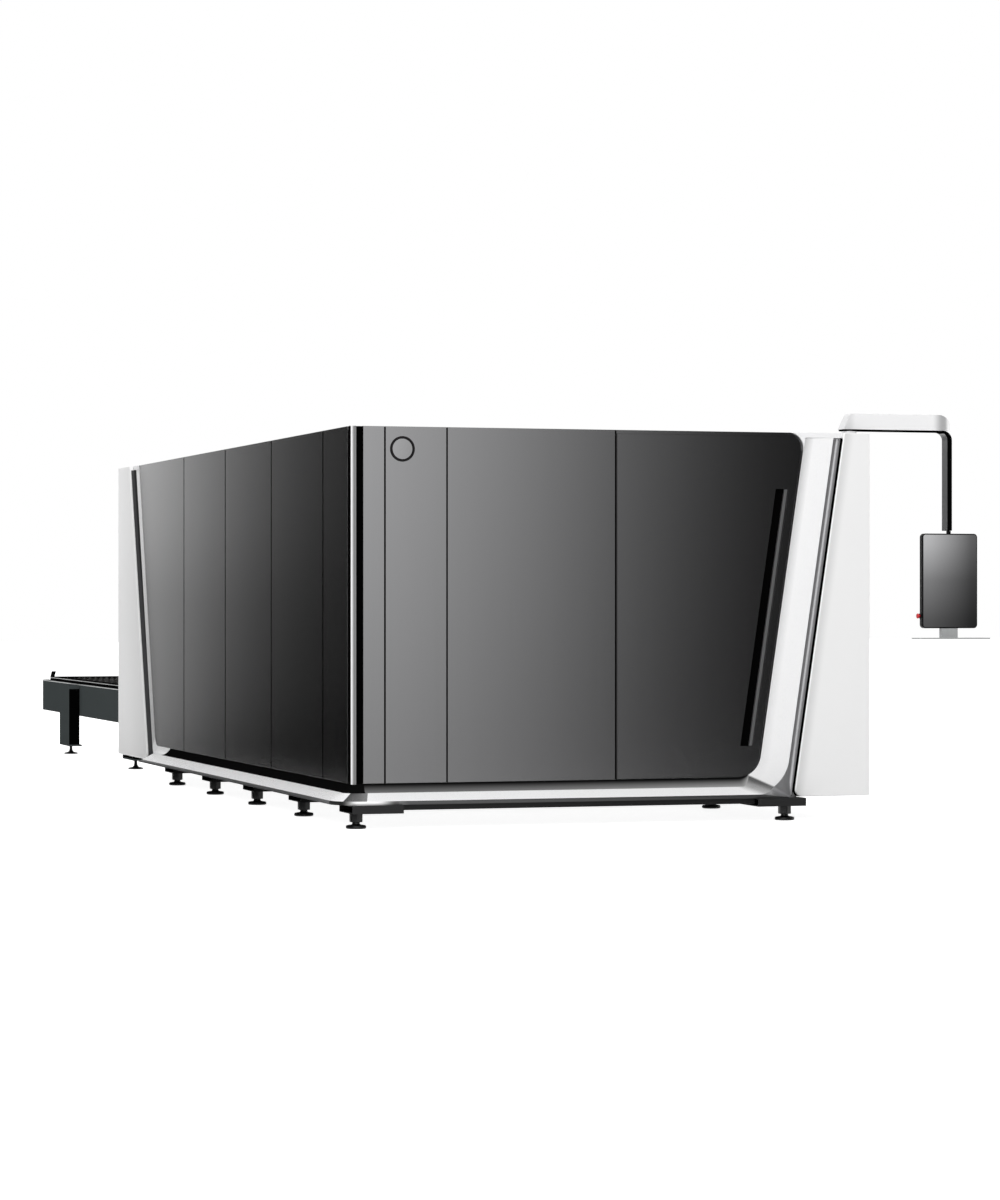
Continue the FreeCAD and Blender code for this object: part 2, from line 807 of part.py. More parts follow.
def left_band():
    """White band along the slanted far edge of the left side."""
    groove_end = left_band_width + left_groove_width
    low = enclosure_top - cap_height
    start = left_edge(panel_bottom) - band_root
    outer = [(start, sill_back_top), (left_edge(sill_back_top) + left_band_width, sill_back_top),
             (left_edge(low) + left_band_width, low), (left_edge(low) + groove_end, low),
             (left_edge(enclosure_top) + groove_end, enclosure_top), (start, enclosure_top)]
    band = side_prism(outer, -band_proud, front_plate)
    grow = reveal / 2
    dark = [(left_seams[-1], panel_bottom - grow), (left_edge(panel_bottom - grow) + grow,
            panel_bottom - grow, left_edge_bottom_radius),
            (left_edge(enclosure_top) + grow, enclosure_top + grow),
            (left_seams[-1], enclosure_top + grow)]
    hidden = box(0, front_plate, start, left_edge(panel_bottom) - panel_rail_gap,
                 sill_back_top, panel_bottom)
    bands = band.cut(side_prism(dark, -band_proud, front_plate).fuse(hidden)).Solids
    bands.sort(key=lambda solid: solid.Volume)
    return bands[-1]


def left_groove():
    """Half-round channel between the left band and the far outer panel, and its carrier."""
    near = left_band_width
    far = near + left_groove_width
    low = enclosure_top - cap_height
    bar = side_prism(slanted(left_edge, near, far, sill_back_top, low), groove_recess, panel_depth)
    middle = (near + far) / 2
    foot = Vector(-groove_recess, left_edge(0) + middle, 0)
    top = Vector(-groove_recess, left_edge(enclosure_top) + middle, enclosure_top)
    run = top - foot
    dish = Part.makeCylinder(groove_radius, run.Length, foot, run)
    return bar.cut(dish)


def left_jamb():
    """Slanted carrier behind the left band."""
    corners = slanted(left_edge, left_jamb_gap, left_band_width, sill_back_top, frame_top - post)
    return side_prism(corners, front_plate, sill_back)


def left_outer_panel():
    """White panel at the far end of the left side."""
    near = left_band_width + left_groove_width + reveal
    corners = [(left_edge(shell_bottom) + near, shell_bottom, outer_panel_round),
               (enclosure_length, shell_bottom), (enclosure_length, enclosure_top),
               (left_edge(enclosure_top) + near, enclosure_top)]
    panel = folded_panel(corners, in_side, sheet, panel_depth, Vector(1, 0, 0))
    return placed(panel, x=-shell_proud)


def rear_wall():
    """End wall in five folded panels around the way out for the pallets."""
    inner = bed_left_inner - rear_opening_gap
    outer = 2 * bed_centre - inner
    low = runway_bottom - rear_opening_gap
    high = runway_top + rear_opening_rise
    pieces = [(shell_back, inner, shell_bottom, high), (outer, enclosure_width, shell_bottom, high),
              (inner, outer, shell_bottom, low), (shell_back, bed_centre, high, enclosure_top),
              (bed_centre, enclosure_width, high, enclosure_top)]
    panels = []
    for x0, x1, z0, z1 in pieces:
        corners = [(x0, z0), (x1, z0), (x1, z1), (x0, z1)]
        panel = folded_panel(corners, in_front, sheet, panel_depth, Vector(0, -1, 0))
        panels.append(placed(panel, y=enclosure_length))
    return panels


def right_wall():
    """Folded panels of the right-hand side, one between each pair of posts."""
    places = [shell_back, *right_post_places, rear_inside]
    panels = []
    for y0, y1 in zip(places, places[1:]):
        near = y0 if y0 == shell_back else y0 + seam / 2
        far = y1 if y1 == rear_inside else y1 - seam / 2
        corners = [(near, shell_bottom), (far, shell_bottom), (far, enclosure_top),
                   (near, enclosure_top)]
        panel = folded_panel(corners, in_side, sheet, panel_depth, Vector(-1, 0, 0))
        panels.append(placed(panel, x=enclosure_width))
    return panels


def roof_panels():
    """Folded panels of the roof, lying on the headers."""
    places = [frame_face, *roof_seams, rear_inside - roof_end_length, rear_inside]
    thickness = enclosure_top - frame_top
    panels = []
    for y0, y1 in zip(places, places[1:]):
        last = y1 == rear_inside
        near = y0 if y0 == frame_face else y0 + seam / 2
        far = y1 if last else y1 - seam / 2
        x0 = front_plate if last else panel_depth
        corners = [(x0, near), (wall_inside, near), (wall_inside, far), (x0, far)]
        panel = folded_panel(corners, in_plan, sheet, thickness, Vector(0, 0, -1))
        panels.append(placed(panel, z=enclosure_top))
    return panels


# ---------------------------------------------------------------- front door

def door_leaf():
    """The sliding leaf, with a slanted pocket for its handle."""
    start = front_seams[2] - door_overlap
    corners = [(start, panel_bottom + door_clearance),
               (front_edge(panel_bottom) + door_tuck, panel_bottom + door_clearance,
                front_edge_bottom_radius),
               (front_edge(frame_top) + door_tuck, frame_top - door_clearance,
                front_edge_top_radius - (enclosure_top - frame_top)),
               (start, frame_top - door_clearance)]
    leaf = front_prism(corners, door_front, door_back)
    return leaf.cut(front_prism(handle_corners(0), door_front, door_front + handle_depth))


def handle_corners(inset):
    far = -handle_from_edge - inset
    near = -handle_from_edge - handle_width + inset
    return slanted(front_edge, near, far, handle_bottom + inset, handle_top - inset)


def door_handle_channel():
    """Black tray that lines the pocket."""
    tray = front_prism(handle_corners(0), door_front, door_front + handle_depth)
    hollow = front_prism(handle_corners(sheet), door_front, door_front + handle_depth - sheet)
    return tray.cut(hollow)


def door_handle_bar():
    """Grey pull bar that stands on the floor of the tray."""
    far = -handle_from_edge - handle_bar_offset
    corners = slanted(front_edge, far - handle_bar_width, far, handle_bottom + sheet,
                      handle_top - sheet)
    return front_prism(corners, door_front - sheet, door_front + handle_depth - sheet)


def door_rail():
    """Linear rail under the front header."""
    middle = frame_face + post / 2
    start = door_block_places[0] - door_block_length / 2 - door_travel - door_rail_spare
    return box(start, portal_post_place - door_rail_end_gap,
               middle - door_rail_width / 2, middle + door_rail_width / 2,
               frame_top - post - door_rail_height, frame_top - post)


def door_carriages():
    """Blocks that run on the rail, each with the plate that carries the leaf."""
    middle = frame_face + post / 2
    back = middle + door_block_width / 2
    top = frame_top - post - door_block_top_gap
    rail_bottom = frame_top - post - door_rail_height
    block_bottom = rail_bottom - door_block_floor
    arm_low = block_bottom - door_arm_thickness
    carriages = []
    for x in door_block_places:
        x0, x1 = x - door_block_length / 2, x + door_block_length / 2
        block = box(x0, x1, middle - door_block_width / 2, back, block_bottom, top)
        slot = box(x0, x1, middle - door_rail_width / 2 - slide_clearance,
                   middle + door_rail_width / 2 + slide_clearance,
                   rail_bottom - slide_clearance, top)
        arm = box(x0, x1, door_back, back, arm_low, block_bottom)
        foot = box(x0, x1, door_back, door_back + door_clearance, arm_low - door_foot_height,
                   arm_low)
        carriages.append(block.cut(slot).fuse([arm, foot]).removeSplitter())
    return carriages


def badge_ring():
    middle = (badge_place, 0, badge_height)
    ring = cylinder(badge_radius, middle, (0, -1, 0), badge_thickness)
    return ring.cut(cylinder(badge_radius - badge_ring_width, middle, (0, -1, 0), badge_thickness))


def badge_disc():
    return cylinder(badge_radius - badge_ring_width, (badge_place, 0, badge_height), (0, -1, 0),
                    badge_thickness - badge_disc_recess)


# ---------------------------------------------------------------- cabinets

def cabinet_floor():
    """Plate on the outriggers that the cabinets stand on."""
    return box(bed_right_outer + cabinet_floor_gap, wall_inside - post - cabinet_floor_gap,
               cabinet_floor_start, cabinet_floor_end,
               cabin_base_top, cabin_base_top + cabinet_floor_thickness)


def cabinet(start, length, height):
    floor = cabin_base_top + cabinet_floor_thickness
    return box(bed_right_outer + cabinet_inset, cabinet_end, start, start + length, floor,
               floor + height)


# ---------------------------------------------------------------- gantry and head

def guide_middle():
    return bed_left_outer + guide_from_beam_edge


def bed_guides():
    """Linear guides and racks on top of the bed's side beams."""
    middle = guide_middle()
    guide = box(middle - guide_width / 2, middle + guide_width / 2, guide_start, guide_end,
                bed_beam_top, bed_beam_top + guide_height)
    rack_x = middle + guide_block_width / 2 + rack_gap
    rack = box(rack_x, rack_x + rack_width, guide_start, guide_end,
               bed_beam_top, bed_beam_top + guide_height)
    return both_sides(guide) + both_sides(rack)


def gantry_saddles():
    """Side plates of the gantry, each on two blocks that grip the guide."""
    middle = guide_middle()
    low = bed_beam_top + guide_height
    plate_bottom = gantry_bottom - saddle_height
    saddle = box(bed_left_outer, bed_left_inner, gantry_place - saddle_length / 2,
                 gantry_place + saddle_length / 2, plate_bottom, gantry_bottom)
    blocks = []
    for y in (gantry_place - saddle_length / 2, gantry_place + saddle_length / 2 - guide_block_length):
        block = box(middle - guide_block_width / 2, middle + guide_block_width / 2, y,
                    y + guide_block_length, bed_beam_top + guide_block_lift, plate_bottom)
        slot = box(middle - guide_width / 2 - slide_clearance,
                   middle + guide_width / 2 + slide_clearance, y, y + guide_block_length,
                   bed_beam_top, low + slide_clearance)
        blocks.append(block.cut(slot))
    return both_sides(saddle.fuse(blocks).removeSplitter())


def gantry_beam():
    """Hollow cross beam with its two rails on the front face."""
    y0, y1 = gantry_place - gantry_depth / 2, gantry_place + gantry_depth / 2
    beam = tube(bed_left_outer, bed_right_outer, y0, y1, gantry_bottom,
                gantry_bottom + gantry_height, gantry_wall, "x")
    reach = carriage_width / 2 + cross_rail_spare
    rails = [box(carriage_place - reach, carriage_place + carriage_travel + reach,
                 y0 - cross_rail_depth, y0, z, z + cross_rail_height) for z in cross_rail_heights()]
    return [beam] + rails


def cross_rail_heights():
    return (gantry_bottom + cross_rail_inset,
            gantry_bottom + gantry_height - cross_rail_inset - cross_rail_height)


def carriage_back():
    return gantry_place - gantry_depth / 2 - slide_clearance


def carriage():
    """Plate that runs along the gantry on four blocks."""
    back = carriage_back()
    plate_back = back - carriage_block_depth
    front = plate_back - carriage_plate
    x0, x1 = carriage_place - carriage_width / 2, carriage_place + carriage_width / 2
    plate = box(x0, x1, front, plate_back, gantry_bottom, gantry_bottom + gantry_height)
    blocks = []
    for z in cross_rail_heights():
        middle = z + cross_rail_height / 2
        for x in (x0 + carriage_block_inset, x1 - carriage_block_inset - carriage_block_length):
            end = x + carriage_block_length
            block = box(x, end, plate_back, back, middle - carriage_block_height / 2,
                        middle + carriage_block_height / 2)
            slot = box(x, end, back - cross_rail_depth - slide_clearance, back,
                       z - slide_clearance, z + cross_rail_height + slide_clearance)
            blocks.append(block.cut(slot))
    return plate.fuse(blocks).removeSplitter()


def head_plate_front():
    return (carriage_back() - carriage_block_depth - carriage_plate - head_clearance
            - head_plate_depth)


def head_slide():
    """Vertical plate that carries the cutting head up and down."""
    front = head_plate_front()
    return box(carriage_place - head_plate_width / 2, carriage_place + head_plate_width / 2,
               front, front + head_plate_depth, head_plate_bottom,
               head_plate_bottom + head_plate_height)


def cutting_head():
    """Cylindrical optics body with its lower cone."""
    y = head_plate_front() - head_body_radius
    body = cylinder(head_body_radius, (carriage_place, y, head_body_bottom), (0, 0, 1),
                    head_body_top - head_body_bottom)
    flat = box(carriage_place - head_flat_width / 2, carriage_place + head_flat_width / 2, y,
               head_plate_front(), head_plate_bottom + head_flat_end_gap,
               head_body_top - head_flat_end_gap)
    cone = Part.makeCone(nozzle_radius, head_body_radius, head_body_bottom - head_cone_bottom,
                         Vector(carriage_place, y, head_cone_bottom))
    return body.fuse([flat, cone]).removeSplitter()


def nozzle():
    y = head_plate_front() - head_body_radius
    bore = cylinder(nozzle_bore_radius, (carriage_place, y, nozzle_tip), (0, 0, 1),
                    nozzle_bore_depth)
    cone = Part.makeCone(nozzle_tip_radius, nozzle_radius, head_cone_bottom - nozzle_tip,
                         Vector(carriage_place, y, nozzle_tip))
    return cone.cut(bore)


# ---------------------------------------------------------------- pallets

def pallet_bottom(rail_top):
    return rail_top + 2 * wheel_radius + pallet_wheel_gap


def axle_places(shift):
    return (pallet_start + shift + wheel_from_end, pallet_end + shift - wheel_from_end)


def pallet_frame(rail_top, shift):
    """Side and end members, stringers under the slats, axle lugs and corner hooks."""
    low = pallet_bottom(rail_top)
    high = low + pallet_side_height
    y0, y1 = pallet_start + shift, pallet_end + shift
    inner = pallet_left + pallet_side_width
    side = tube(pallet_left, inner, y0, y1, low, high, tube_wall, "y")
    ends = [box(inner, 2 * bed_centre - inner, y, y + pallet_side_width, low, high)
            for y in (y0, y1 - pallet_side_width)]
    room = 2 * (bed_centre - inner)
    stringers = []
    for number in range(stringer_count):
        x = inner + room * (number + 1) / (stringer_count + 1) - stringer_width / 2
        stringers.append(box(x, x + stringer_width, y0 + pallet_side_width,
                             y1 - pallet_side_width, low, low + stringer_height))
    axle_height = rail_top + wheel_lift + wheel_radius
    lug_x = wheel_side + wheel_width + lug_gap
    lugs = []
    for y in axle_places(shift):
        lug = box(lug_x, lug_x + lug_thickness, y - lug_half_width, y + lug_half_width,
                  axle_height - lug_drop, low)
        hole = cylinder(axle_radius + axle_clearance, (lug_x, y, axle_height), (1, 0, 0),
                        lug_thickness)
        lugs += both_sides(lug.cut(hole))
    hook_right = pallet_left + hook_width
    hook = front_prism([(pallet_left, high), (hook_right, high),
                        (hook_right + hook_lean, high + hook_height),
                        (pallet_left + hook_lean, high + hook_height)], y1 - hook_length, y1)
    return both_sides(side) + ends + stringers + lugs + both_sides(hook)


def pallet_slats(rail_top, shift):
    """Upright slats with saw-tooth tips, across the pallet; every other one is half a tooth on."""
    low = pallet_bottom(rail_top) + stringer_height
    tip = pallet_bottom(rail_top) + slat_tip_height
    notch = tip - slat_notch_depth
    x0 = pallet_left + pallet_side_width + slat_end_gap
    x1 = 2 * bed_centre - x0
    step = (x1 - x0) / slat_teeth
    kinds = []
    for start, middle in ((notch, tip), (tip, notch)):
        teeth = []
        for number in range(slat_teeth):
            teeth.append((x1 - number * step, start))
            teeth.append((x1 - (number + 0.5) * step, middle))
        kinds.append(front_prism([(x0, low), (x1, low)] + teeth + [(x0, start)], 0, slat_thickness))
    count = int((pallet_length - slat_first - slat_last) // slat_pitch) + 1
    first = pallet_start + shift + slat_first
    return [placed(kinds[number % 2], y=first + number * slat_pitch) for number in range(count)]


def wheelset(rail_top, y):
    """Two wheels on one axle."""
    z = rail_top + wheel_lift + wheel_radius
    axle = cylinder(axle_radius, (wheel_side, y, z), (1, 0, 0), 2 * (bed_centre - wheel_side))
    wheel = cylinder(wheel_radius, (wheel_side, y, z), (1, 0, 0), wheel_width)
    return axle.fuse(both_sides(wheel)).removeSplitter()


# ---------------------------------------------------------------- operator's arm

def arm_pedestal():
    """Bearing disc on the roof that the arm turns on."""
    return cylinder(arm_pedestal_radius, (arm_axis, arm_middle, enclosure_top), (0, 0, 1),
                    arm_pedestal_height)


def arm_beam():
    """Black inner tube of the arm: a flat run and the drop tube to the monitor."""
    y = arm_middle
    run = box(arm_start + arm_cover_over, arm_end, y - arm_depth / 2, y + arm_depth / 2,
              arm_bottom, arm_bottom + arm_core_height)
    drop = box(arm_end - drop_width, arm_end, y - drop_depth / 2, y + drop_depth / 2,
               drop_bottom, arm_bottom)
    hub_bottom = enclosure_top + arm_pedestal_height + swivel_gap
    hub = cylinder(arm_hub_radius, (arm_axis, y, hub_bottom), (0, 0, 1), arm_bottom - hub_bottom)
    return run.fuse([drop, hub]).removeSplitter()


def arm_cover():
    """White cover over the arm, tapered at the enclosure and rounded at the outer corner."""
    low = arm_bottom + arm_core_height
    high = low + arm_cover_height
    half = arm_depth / 2 + arm_cover_over
    corners = [(arm_start, low), (arm_end, low), (arm_end, high, arm_round),
               (arm_start + arm_taper, high, arm_taper_round), (arm_start, low + arm_tip_height)]
    return front_prism(corners, arm_middle - half, arm_middle + half)


def monitor_corners(inset, radius):
    x0 = tray_centre - monitor_width / 2 + inset
    x1 = tray_centre + monitor_width / 2 - inset
    z0, z1 = monitor_bottom + inset, monitor_bottom + monitor_height - inset
    return [(x0, z0, radius), (x1, z0, radius), (x1, z1, radius), (x0, z1, radius)]


def monitor_housing():
    """Housing of the monitor, with the neck it turns on and a bore for the stop button."""
    y = arm_middle
    body = front_prism(monitor_corners(0, monitor_round), y - monitor_depth / 2,
                       y + monitor_depth / 2)
    top = monitor_bottom + monitor_height
    neck = cylinder(neck_radius, (tray_centre, y, top), (0, 0, 1), drop_bottom - swivel_gap - top)
    side = tray_centre - monitor_width / 2
    collar = cylinder(estop_cap_radius, (side - estop_collar_length, y, estop_height), (1, 0, 0),
                      estop_collar_length)
    bore = cylinder(estop_stem_radius + estop_clearance,
                    (side - estop_collar_length, y, estop_height), (1, 0, 0),
                    estop_collar_length + estop_bore_depth)
    return body.fuse([neck, collar]).removeSplitter().cut(bore)


def screen():
    y = arm_middle - monitor_depth / 2
    return front_prism(monitor_corners(screen_inset, monitor_round - screen_inset),
                       y - screen_thickness, y)


def keyboard_tray():
    """Stem under the monitor and the thin shelf for the keyboard."""
    y = arm_middle
    stem = box(tray_centre - tray_stem_width / 2, tray_centre + tray_stem_width / 2,
               y - tray_stem_depth / 2, y + tray_stem_depth / 2, tray_top, monitor_bottom)
    half = tray_width / 2
    corners = [(tray_centre - half, tray_front, tray_round),
               (tray_centre + half, tray_front, tray_round),
               (tray_centre + half, tray_back, tray_round),
               (tray_centre - half, tray_back, tray_round)]
    plate = plan_prism(corners, tray_top - tray_thickness, tray_top)
    return stem.fuse(plate).removeSplitter()


def estop_button():
    """Mushroom-headed stop button on the monitor's left side."""
    y = arm_middle
    face = tray_centre - monitor_width / 2 - estop_collar_length - estop_lift
    cap = cylinder(estop_cap_radius, (face - estop_cap_thickness, y, estop_height), (1, 0, 0),
                   estop_cap_thickness)
    stem = cylinder(estop_stem_radius, (face, y, estop_height), (1, 0, 0), estop_stem_length)
    return cap.fuse(stem).removeSplitter()


# ---------------------------------------------------------------- all nodes

upper_axles = axle_places(0)
lower_axles = axle_places(lower_shift)

nodes = {
    "levelling_feet": levelling_feet(),
    "foot_brackets": foot_brackets(),
    "bed_frame": bed_frame(),
    "pallet_rails": pallet_rails(),
    "table_frame": table_frame(),
    "table_feet": table_feet(),
    "front_base_rail": [front_base_rail()],
    "sill_front": [sill_front()],
    "sill_left": [sill_left()],
    "sill_corner": [sill_corner()],
    "panel_rails": panel_rails(),
    "enclosure_frame": enclosure_frame() + [cabinet_floor()],
    "corner_strip": [corner_strip()],
    "corner_post": [corner_post()],
    "front_panel_1": [front_panel(0)],
    "front_panel_2": [front_panel(1)],
    "front_panel_3": [front_panel(2)],
    "front_top_rail": front_top_rail(),
    "door_seal": [door_seal()],
    "left_panels": left_panels(),
    "front_band": front_band(),
    "front_groove": [front_groove(), door_jamb()],
    "front_outer_panel": [front_outer_panel()],
    "left_band": [left_band()],
    "left_groove": [left_groove(), left_jamb()],
    "left_outer_panel": [left_outer_panel()],
    "rear_wall": rear_wall(),
    "right_wall": right_wall(),
    "roof_panels": roof_panels(),
    "badge_ring": [badge_ring()],
    "badge_disc": [badge_disc()],
    "door_rail": [door_rail()],
    "door_carriages": door_carriages(),
    "door_leaf": [door_leaf()],
    "door_handle_channel": [door_handle_channel()],
    "door_handle_bar": [door_handle_bar()],
    "control_cabinet": [cabinet(control_cabinet_start, control_cabinet_length,
                                control_cabinet_height)],
    "laser_source": [cabinet(laser_source_start, laser_source_length, laser_source_height)],
    "bed_guides": bed_guides(),
    "gantry_beam": gantry_beam(),
    "gantry_saddles": gantry_saddles(),
    "carriage": [carriage()],
    "head_slide": [head_slide()],
    "cutting_head": [cutting_head()],
    "nozzle": [nozzle()],
    "upper_pallet": pallet_frame(upper_rail_top, 0),
    "upper_slats": pallet_slats(upper_rail_top, 0),
    "upper_wheels_near": [wheelset(upper_rail_top, upper_axles[0])],
    "upper_wheels_far": [wheelset(upper_rail_top, upper_axles[1])],
    "lower_pallet": pallet_frame(lower_rail_top, lower_shift),
    "lower_slats": pallet_slats(lower_rail_top, lower_shift),
    "lower_wheels_near": [wheelset(lower_rail_top, lower_axles[0])],
    "lower_wheels_far": [wheelset(lower_rail_top, lower_axles[1])],
    "arm_pedestal": [arm_pedestal()],
    "arm_beam": [arm_beam()],
    "arm_cover": [arm_cover()],
    "monitor_housing": [monitor_housing()],
    "screen": [screen()],
    "keyboard_tray": [keyboard_tray()],
    "estop_button": [estop_button()],
}

# the machine's outermost points, for the origin under its middle
left_reach = -sill_reach
right_reach = tray_centre + tray_width / 2
front_reach = foot_first - bracket_before_foot
rear_reach = table_end
to_origin = Vector(-(left_reach + right_reach) / 2, -(front_reach + rear_reach) / 2, 0)

os.makedirs("parts", exist_ok=True)
for name, solids in nodes.items():
    shape = solids[0] if len(solids) == 1 else Part.makeCompound(solids)
    shape = placed(shape, to_origin.x, to_origin.y)
    shape.exportStep(os.path.join("parts", name + ".step"))
print(len(nodes), "nodes; shift", to_origin.x, to_origin.y)
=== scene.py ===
"""Looks of the fiber laser cutting machine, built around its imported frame.

Metres, +Z up. Along the front face u runs to the right from the near vertical corner, along the
left side u runs back from it; out is how far a point stands in front of the dark panels.
"""

import math

import bpy
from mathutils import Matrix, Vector


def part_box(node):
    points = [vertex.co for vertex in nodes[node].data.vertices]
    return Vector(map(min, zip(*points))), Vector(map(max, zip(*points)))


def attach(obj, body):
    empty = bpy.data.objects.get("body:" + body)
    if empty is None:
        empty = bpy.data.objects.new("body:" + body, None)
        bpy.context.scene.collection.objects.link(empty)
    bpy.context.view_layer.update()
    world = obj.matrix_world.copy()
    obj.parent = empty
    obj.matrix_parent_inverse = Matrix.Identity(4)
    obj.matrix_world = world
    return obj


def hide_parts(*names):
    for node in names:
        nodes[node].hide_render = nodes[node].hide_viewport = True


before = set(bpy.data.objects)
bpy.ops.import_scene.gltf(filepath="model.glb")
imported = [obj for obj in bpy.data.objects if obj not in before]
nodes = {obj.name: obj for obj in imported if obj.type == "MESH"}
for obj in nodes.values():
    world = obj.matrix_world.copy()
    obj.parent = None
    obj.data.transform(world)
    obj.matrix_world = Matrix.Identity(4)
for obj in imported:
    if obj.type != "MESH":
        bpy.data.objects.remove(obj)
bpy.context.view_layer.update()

# ---------------------------------------- sizes

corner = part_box("corner_strip")[0]
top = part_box("corner_strip")[1].z
panel_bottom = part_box("front_panel_1")[0].z
right_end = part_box("right_wall")[1].x - corner.x
rear_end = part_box("left_outer_panel")[1].y - corner.y

sill_start = 0.060  # centre of the near corner's quarter turn
sill_out = 0.100
sill_nose_top = 0.152
sill_foot = 0.131
corner_radius = sill_start + sill_out

cove_out = 0.030
cove_foot = 0.194
cove_share = 0.4  # of the white frame's width, beside the dark panels
foot_rise = 0.005
band_out = 0.008
cap_foot = top - 0.028
lip_share = 0.75  # of the grey trim's width, before it turns back
sheet_thickness = 0.002
liner_thickness = 0.0006

shell_depth = 0.030
shell_corner = 0.042
left_seams = (0.600, 1.835, 3.070, 4.305)
left_seam_width = 0.016
front_seams = (0.197, 0.551, 1.534)
front_seam_width = 0.009

arm_drop_width = 0.028
arm_drop_depth = 0.080
arm_drop_inset = 0.010
arm_bend = 0.045

beam_inset = 0.086
leg_fronts = (6.810, 9.480)
leg_length = 0.430
table_strip = (0.561, 0.568)  # lowest and highest point of the light strips
pallet_strip = (0.585, 0.591)
table_edge = (0.5688, 0.5696)  # above this the table's coat is painted black, painted shade in the gap under the pallet


def front(u, z, out=0.0):
    """A point of the front face."""
    return Vector((corner.x + u, corner.y - out, z))


def left(u, z, out=0.0):
    """A point of the left side."""
    return Vector((corner.x - out, corner.y + u, z))


def slanted(foot, head):
    """How far along its side a slanted edge lies at a height, from the panels' foot to the top."""
    return lambda z: foot + (head - foot) * (z - panel_bottom) / (top - panel_bottom)


front_edge = slanted(2.387, 2.678)
left_edge = slanted(5.232, 5.805)


def smooth(value):
    """Eases from 0 to 1."""
    value = min(max(value, 0.0), 1.0)
    return value * value * (3 - 2 * value)


def share_of(value, start, end):
    """How far value lies from start to end, kept between 0 and 1."""
    return min(max((value - start) / (end - start), 0.0), 1.0)


def between(value, marks, column):
    """Straight interpolation in a list of pairs, read from the given column."""
    for before, after in zip(marks, marks[1:]):
        if value <= after[column]:
            break
    share = (value - before[column]) / (after[column] - before[column])
    return before[1 - column] + (after[1 - column] - before[1 - column]) * share


def bent_line(start, bend, end, radius):
    """A straight run, an arc round the bend and a second run, for t from 0 to 3."""
    start, bend, end = Vector(start), Vector(bend), Vector(end)
    back = (start - bend).normalized()
    ahead = (end - bend).normalized()
    half = back.angle(ahead) / 2
    reach = radius / math.tan(half)
    centre = bend + (back + ahead).normalized() * (radius / math.sin(half))
    first, last = bend + back * reach, bend + ahead * reach

    def at(t):
        if t <= 1:
            return start.lerp(first, t)
        if t >= 2:
            return last.lerp(end, t - 2)
        return centre + (first - centre).normalized().slerp((last - centre).normalized(), t - 1) * radius

    return at


def arc_of(line, steps):
    """The points of a bent line's arc."""
    return [line(1 + step / steps) for step in range(steps + 1)]


# ---------------------------------------- modelling by hand

def pick(piece):
    """Makes piece the only one selected."""
    bpy.ops.object.select_all(action="DESELECT")
    piece.select_set(True)
    bpy.context.view_layer.objects.active = piece


def edit(piece):
    pick(piece)
    bpy.ops.object.mode_set(mode="EDIT")


def done(name, piece):
    """Leaves edit mode with everything welded and facing outwards."""
    bpy.ops.mesh.select_all(action="SELECT")
    bpy.ops.mesh.remove_doubles(threshold=0.00001)
    bpy.ops.mesh.normals_make_consistent(inside=False)
    bpy.ops.object.mode_set(mode="OBJECT")
    piece.name = name
    return piece


def settle(piece):
    """Puts a piece's place into its mesh."""
    pick(piece)
    bpy.ops.object.transform_apply(location=True, rotation=True, scale=True)
    return piece


def modify(piece, kind, **values):
    """Adds a modifier and gives its name."""
    modifier = piece.modifiers.new(kind, kind)
    for key, value in values.items():
        setattr(modifier, key, value)
    return modifier.name


def finish_with(piece, kind, **values):
    """Adds a modifier and applies it."""
    name = modify(piece, kind, **values)
    pick(piece)
    bpy.ops.object.modifier_apply(modifier=name)
    return piece


def round_edges(piece, width, segments=2, angle=35):
    finish_with(piece, "BEVEL", width=width, segments=segments, limit_method="ANGLE",
                angle_limit=math.radians(angle), use_clamp_overlap=True)
    pick(piece)
    bpy.ops.object.shade_smooth_by_angle(angle=math.radians(50))
    return piece


def plate(name, corners, thickness):
    """A flat plate: its outline is laid out corner by corner and extruded."""
    bpy.ops.mesh.primitive_circle_add(vertices=len(corners), fill_type="NGON")
    piece = bpy.context.object
    for vertex, place in zip(piece.data.vertices, corners):
        vertex.co = place
    edit(piece)
    bpy.ops.mesh.select_all(action="SELECT")
    bpy.ops.mesh.extrude_region_move(TRANSFORM_OT_translate={"value": thickness})
    return done(name, piece)


def block(name, first, second):
    """A rectangular bar between two opposite corners."""
    middle = (Vector(first) + Vector(second)) / 2
    size = [abs(b - a) for a, b in zip(first, second)]
    bpy.ops.mesh.primitive_cube_add(size=1, location=middle, scale=size)
    piece = settle(bpy.context.object)
    piece.name = name
    return piece


def surface(name, columns, rows, point, thickness, tone=None, offset=-1):
    """A sheet laid out by point(along, across), both from 0 to 1, with a tone at each place, kept in its
    shade attribute as painted light and shade.
    """
    bpy.ops.mesh.primitive_grid_add(x_subdivisions=columns, y_subdivisions=rows, size=2)
    piece = bpy.context.object
    shade = piece.data.attributes.new("shade", "FLOAT", "POINT").data
    for vertex, item in zip(piece.data.vertices, shade):
        along, across = (vertex.co.x + 1) / 2, (vertex.co.y + 1) / 2
        item.value = tone(along, across) if tone else 0.0
        vertex.co = point(along, across)
    edit(piece)
    return finish_with(done(name, piece), "SOLIDIFY", thickness=thickness, offset=offset)


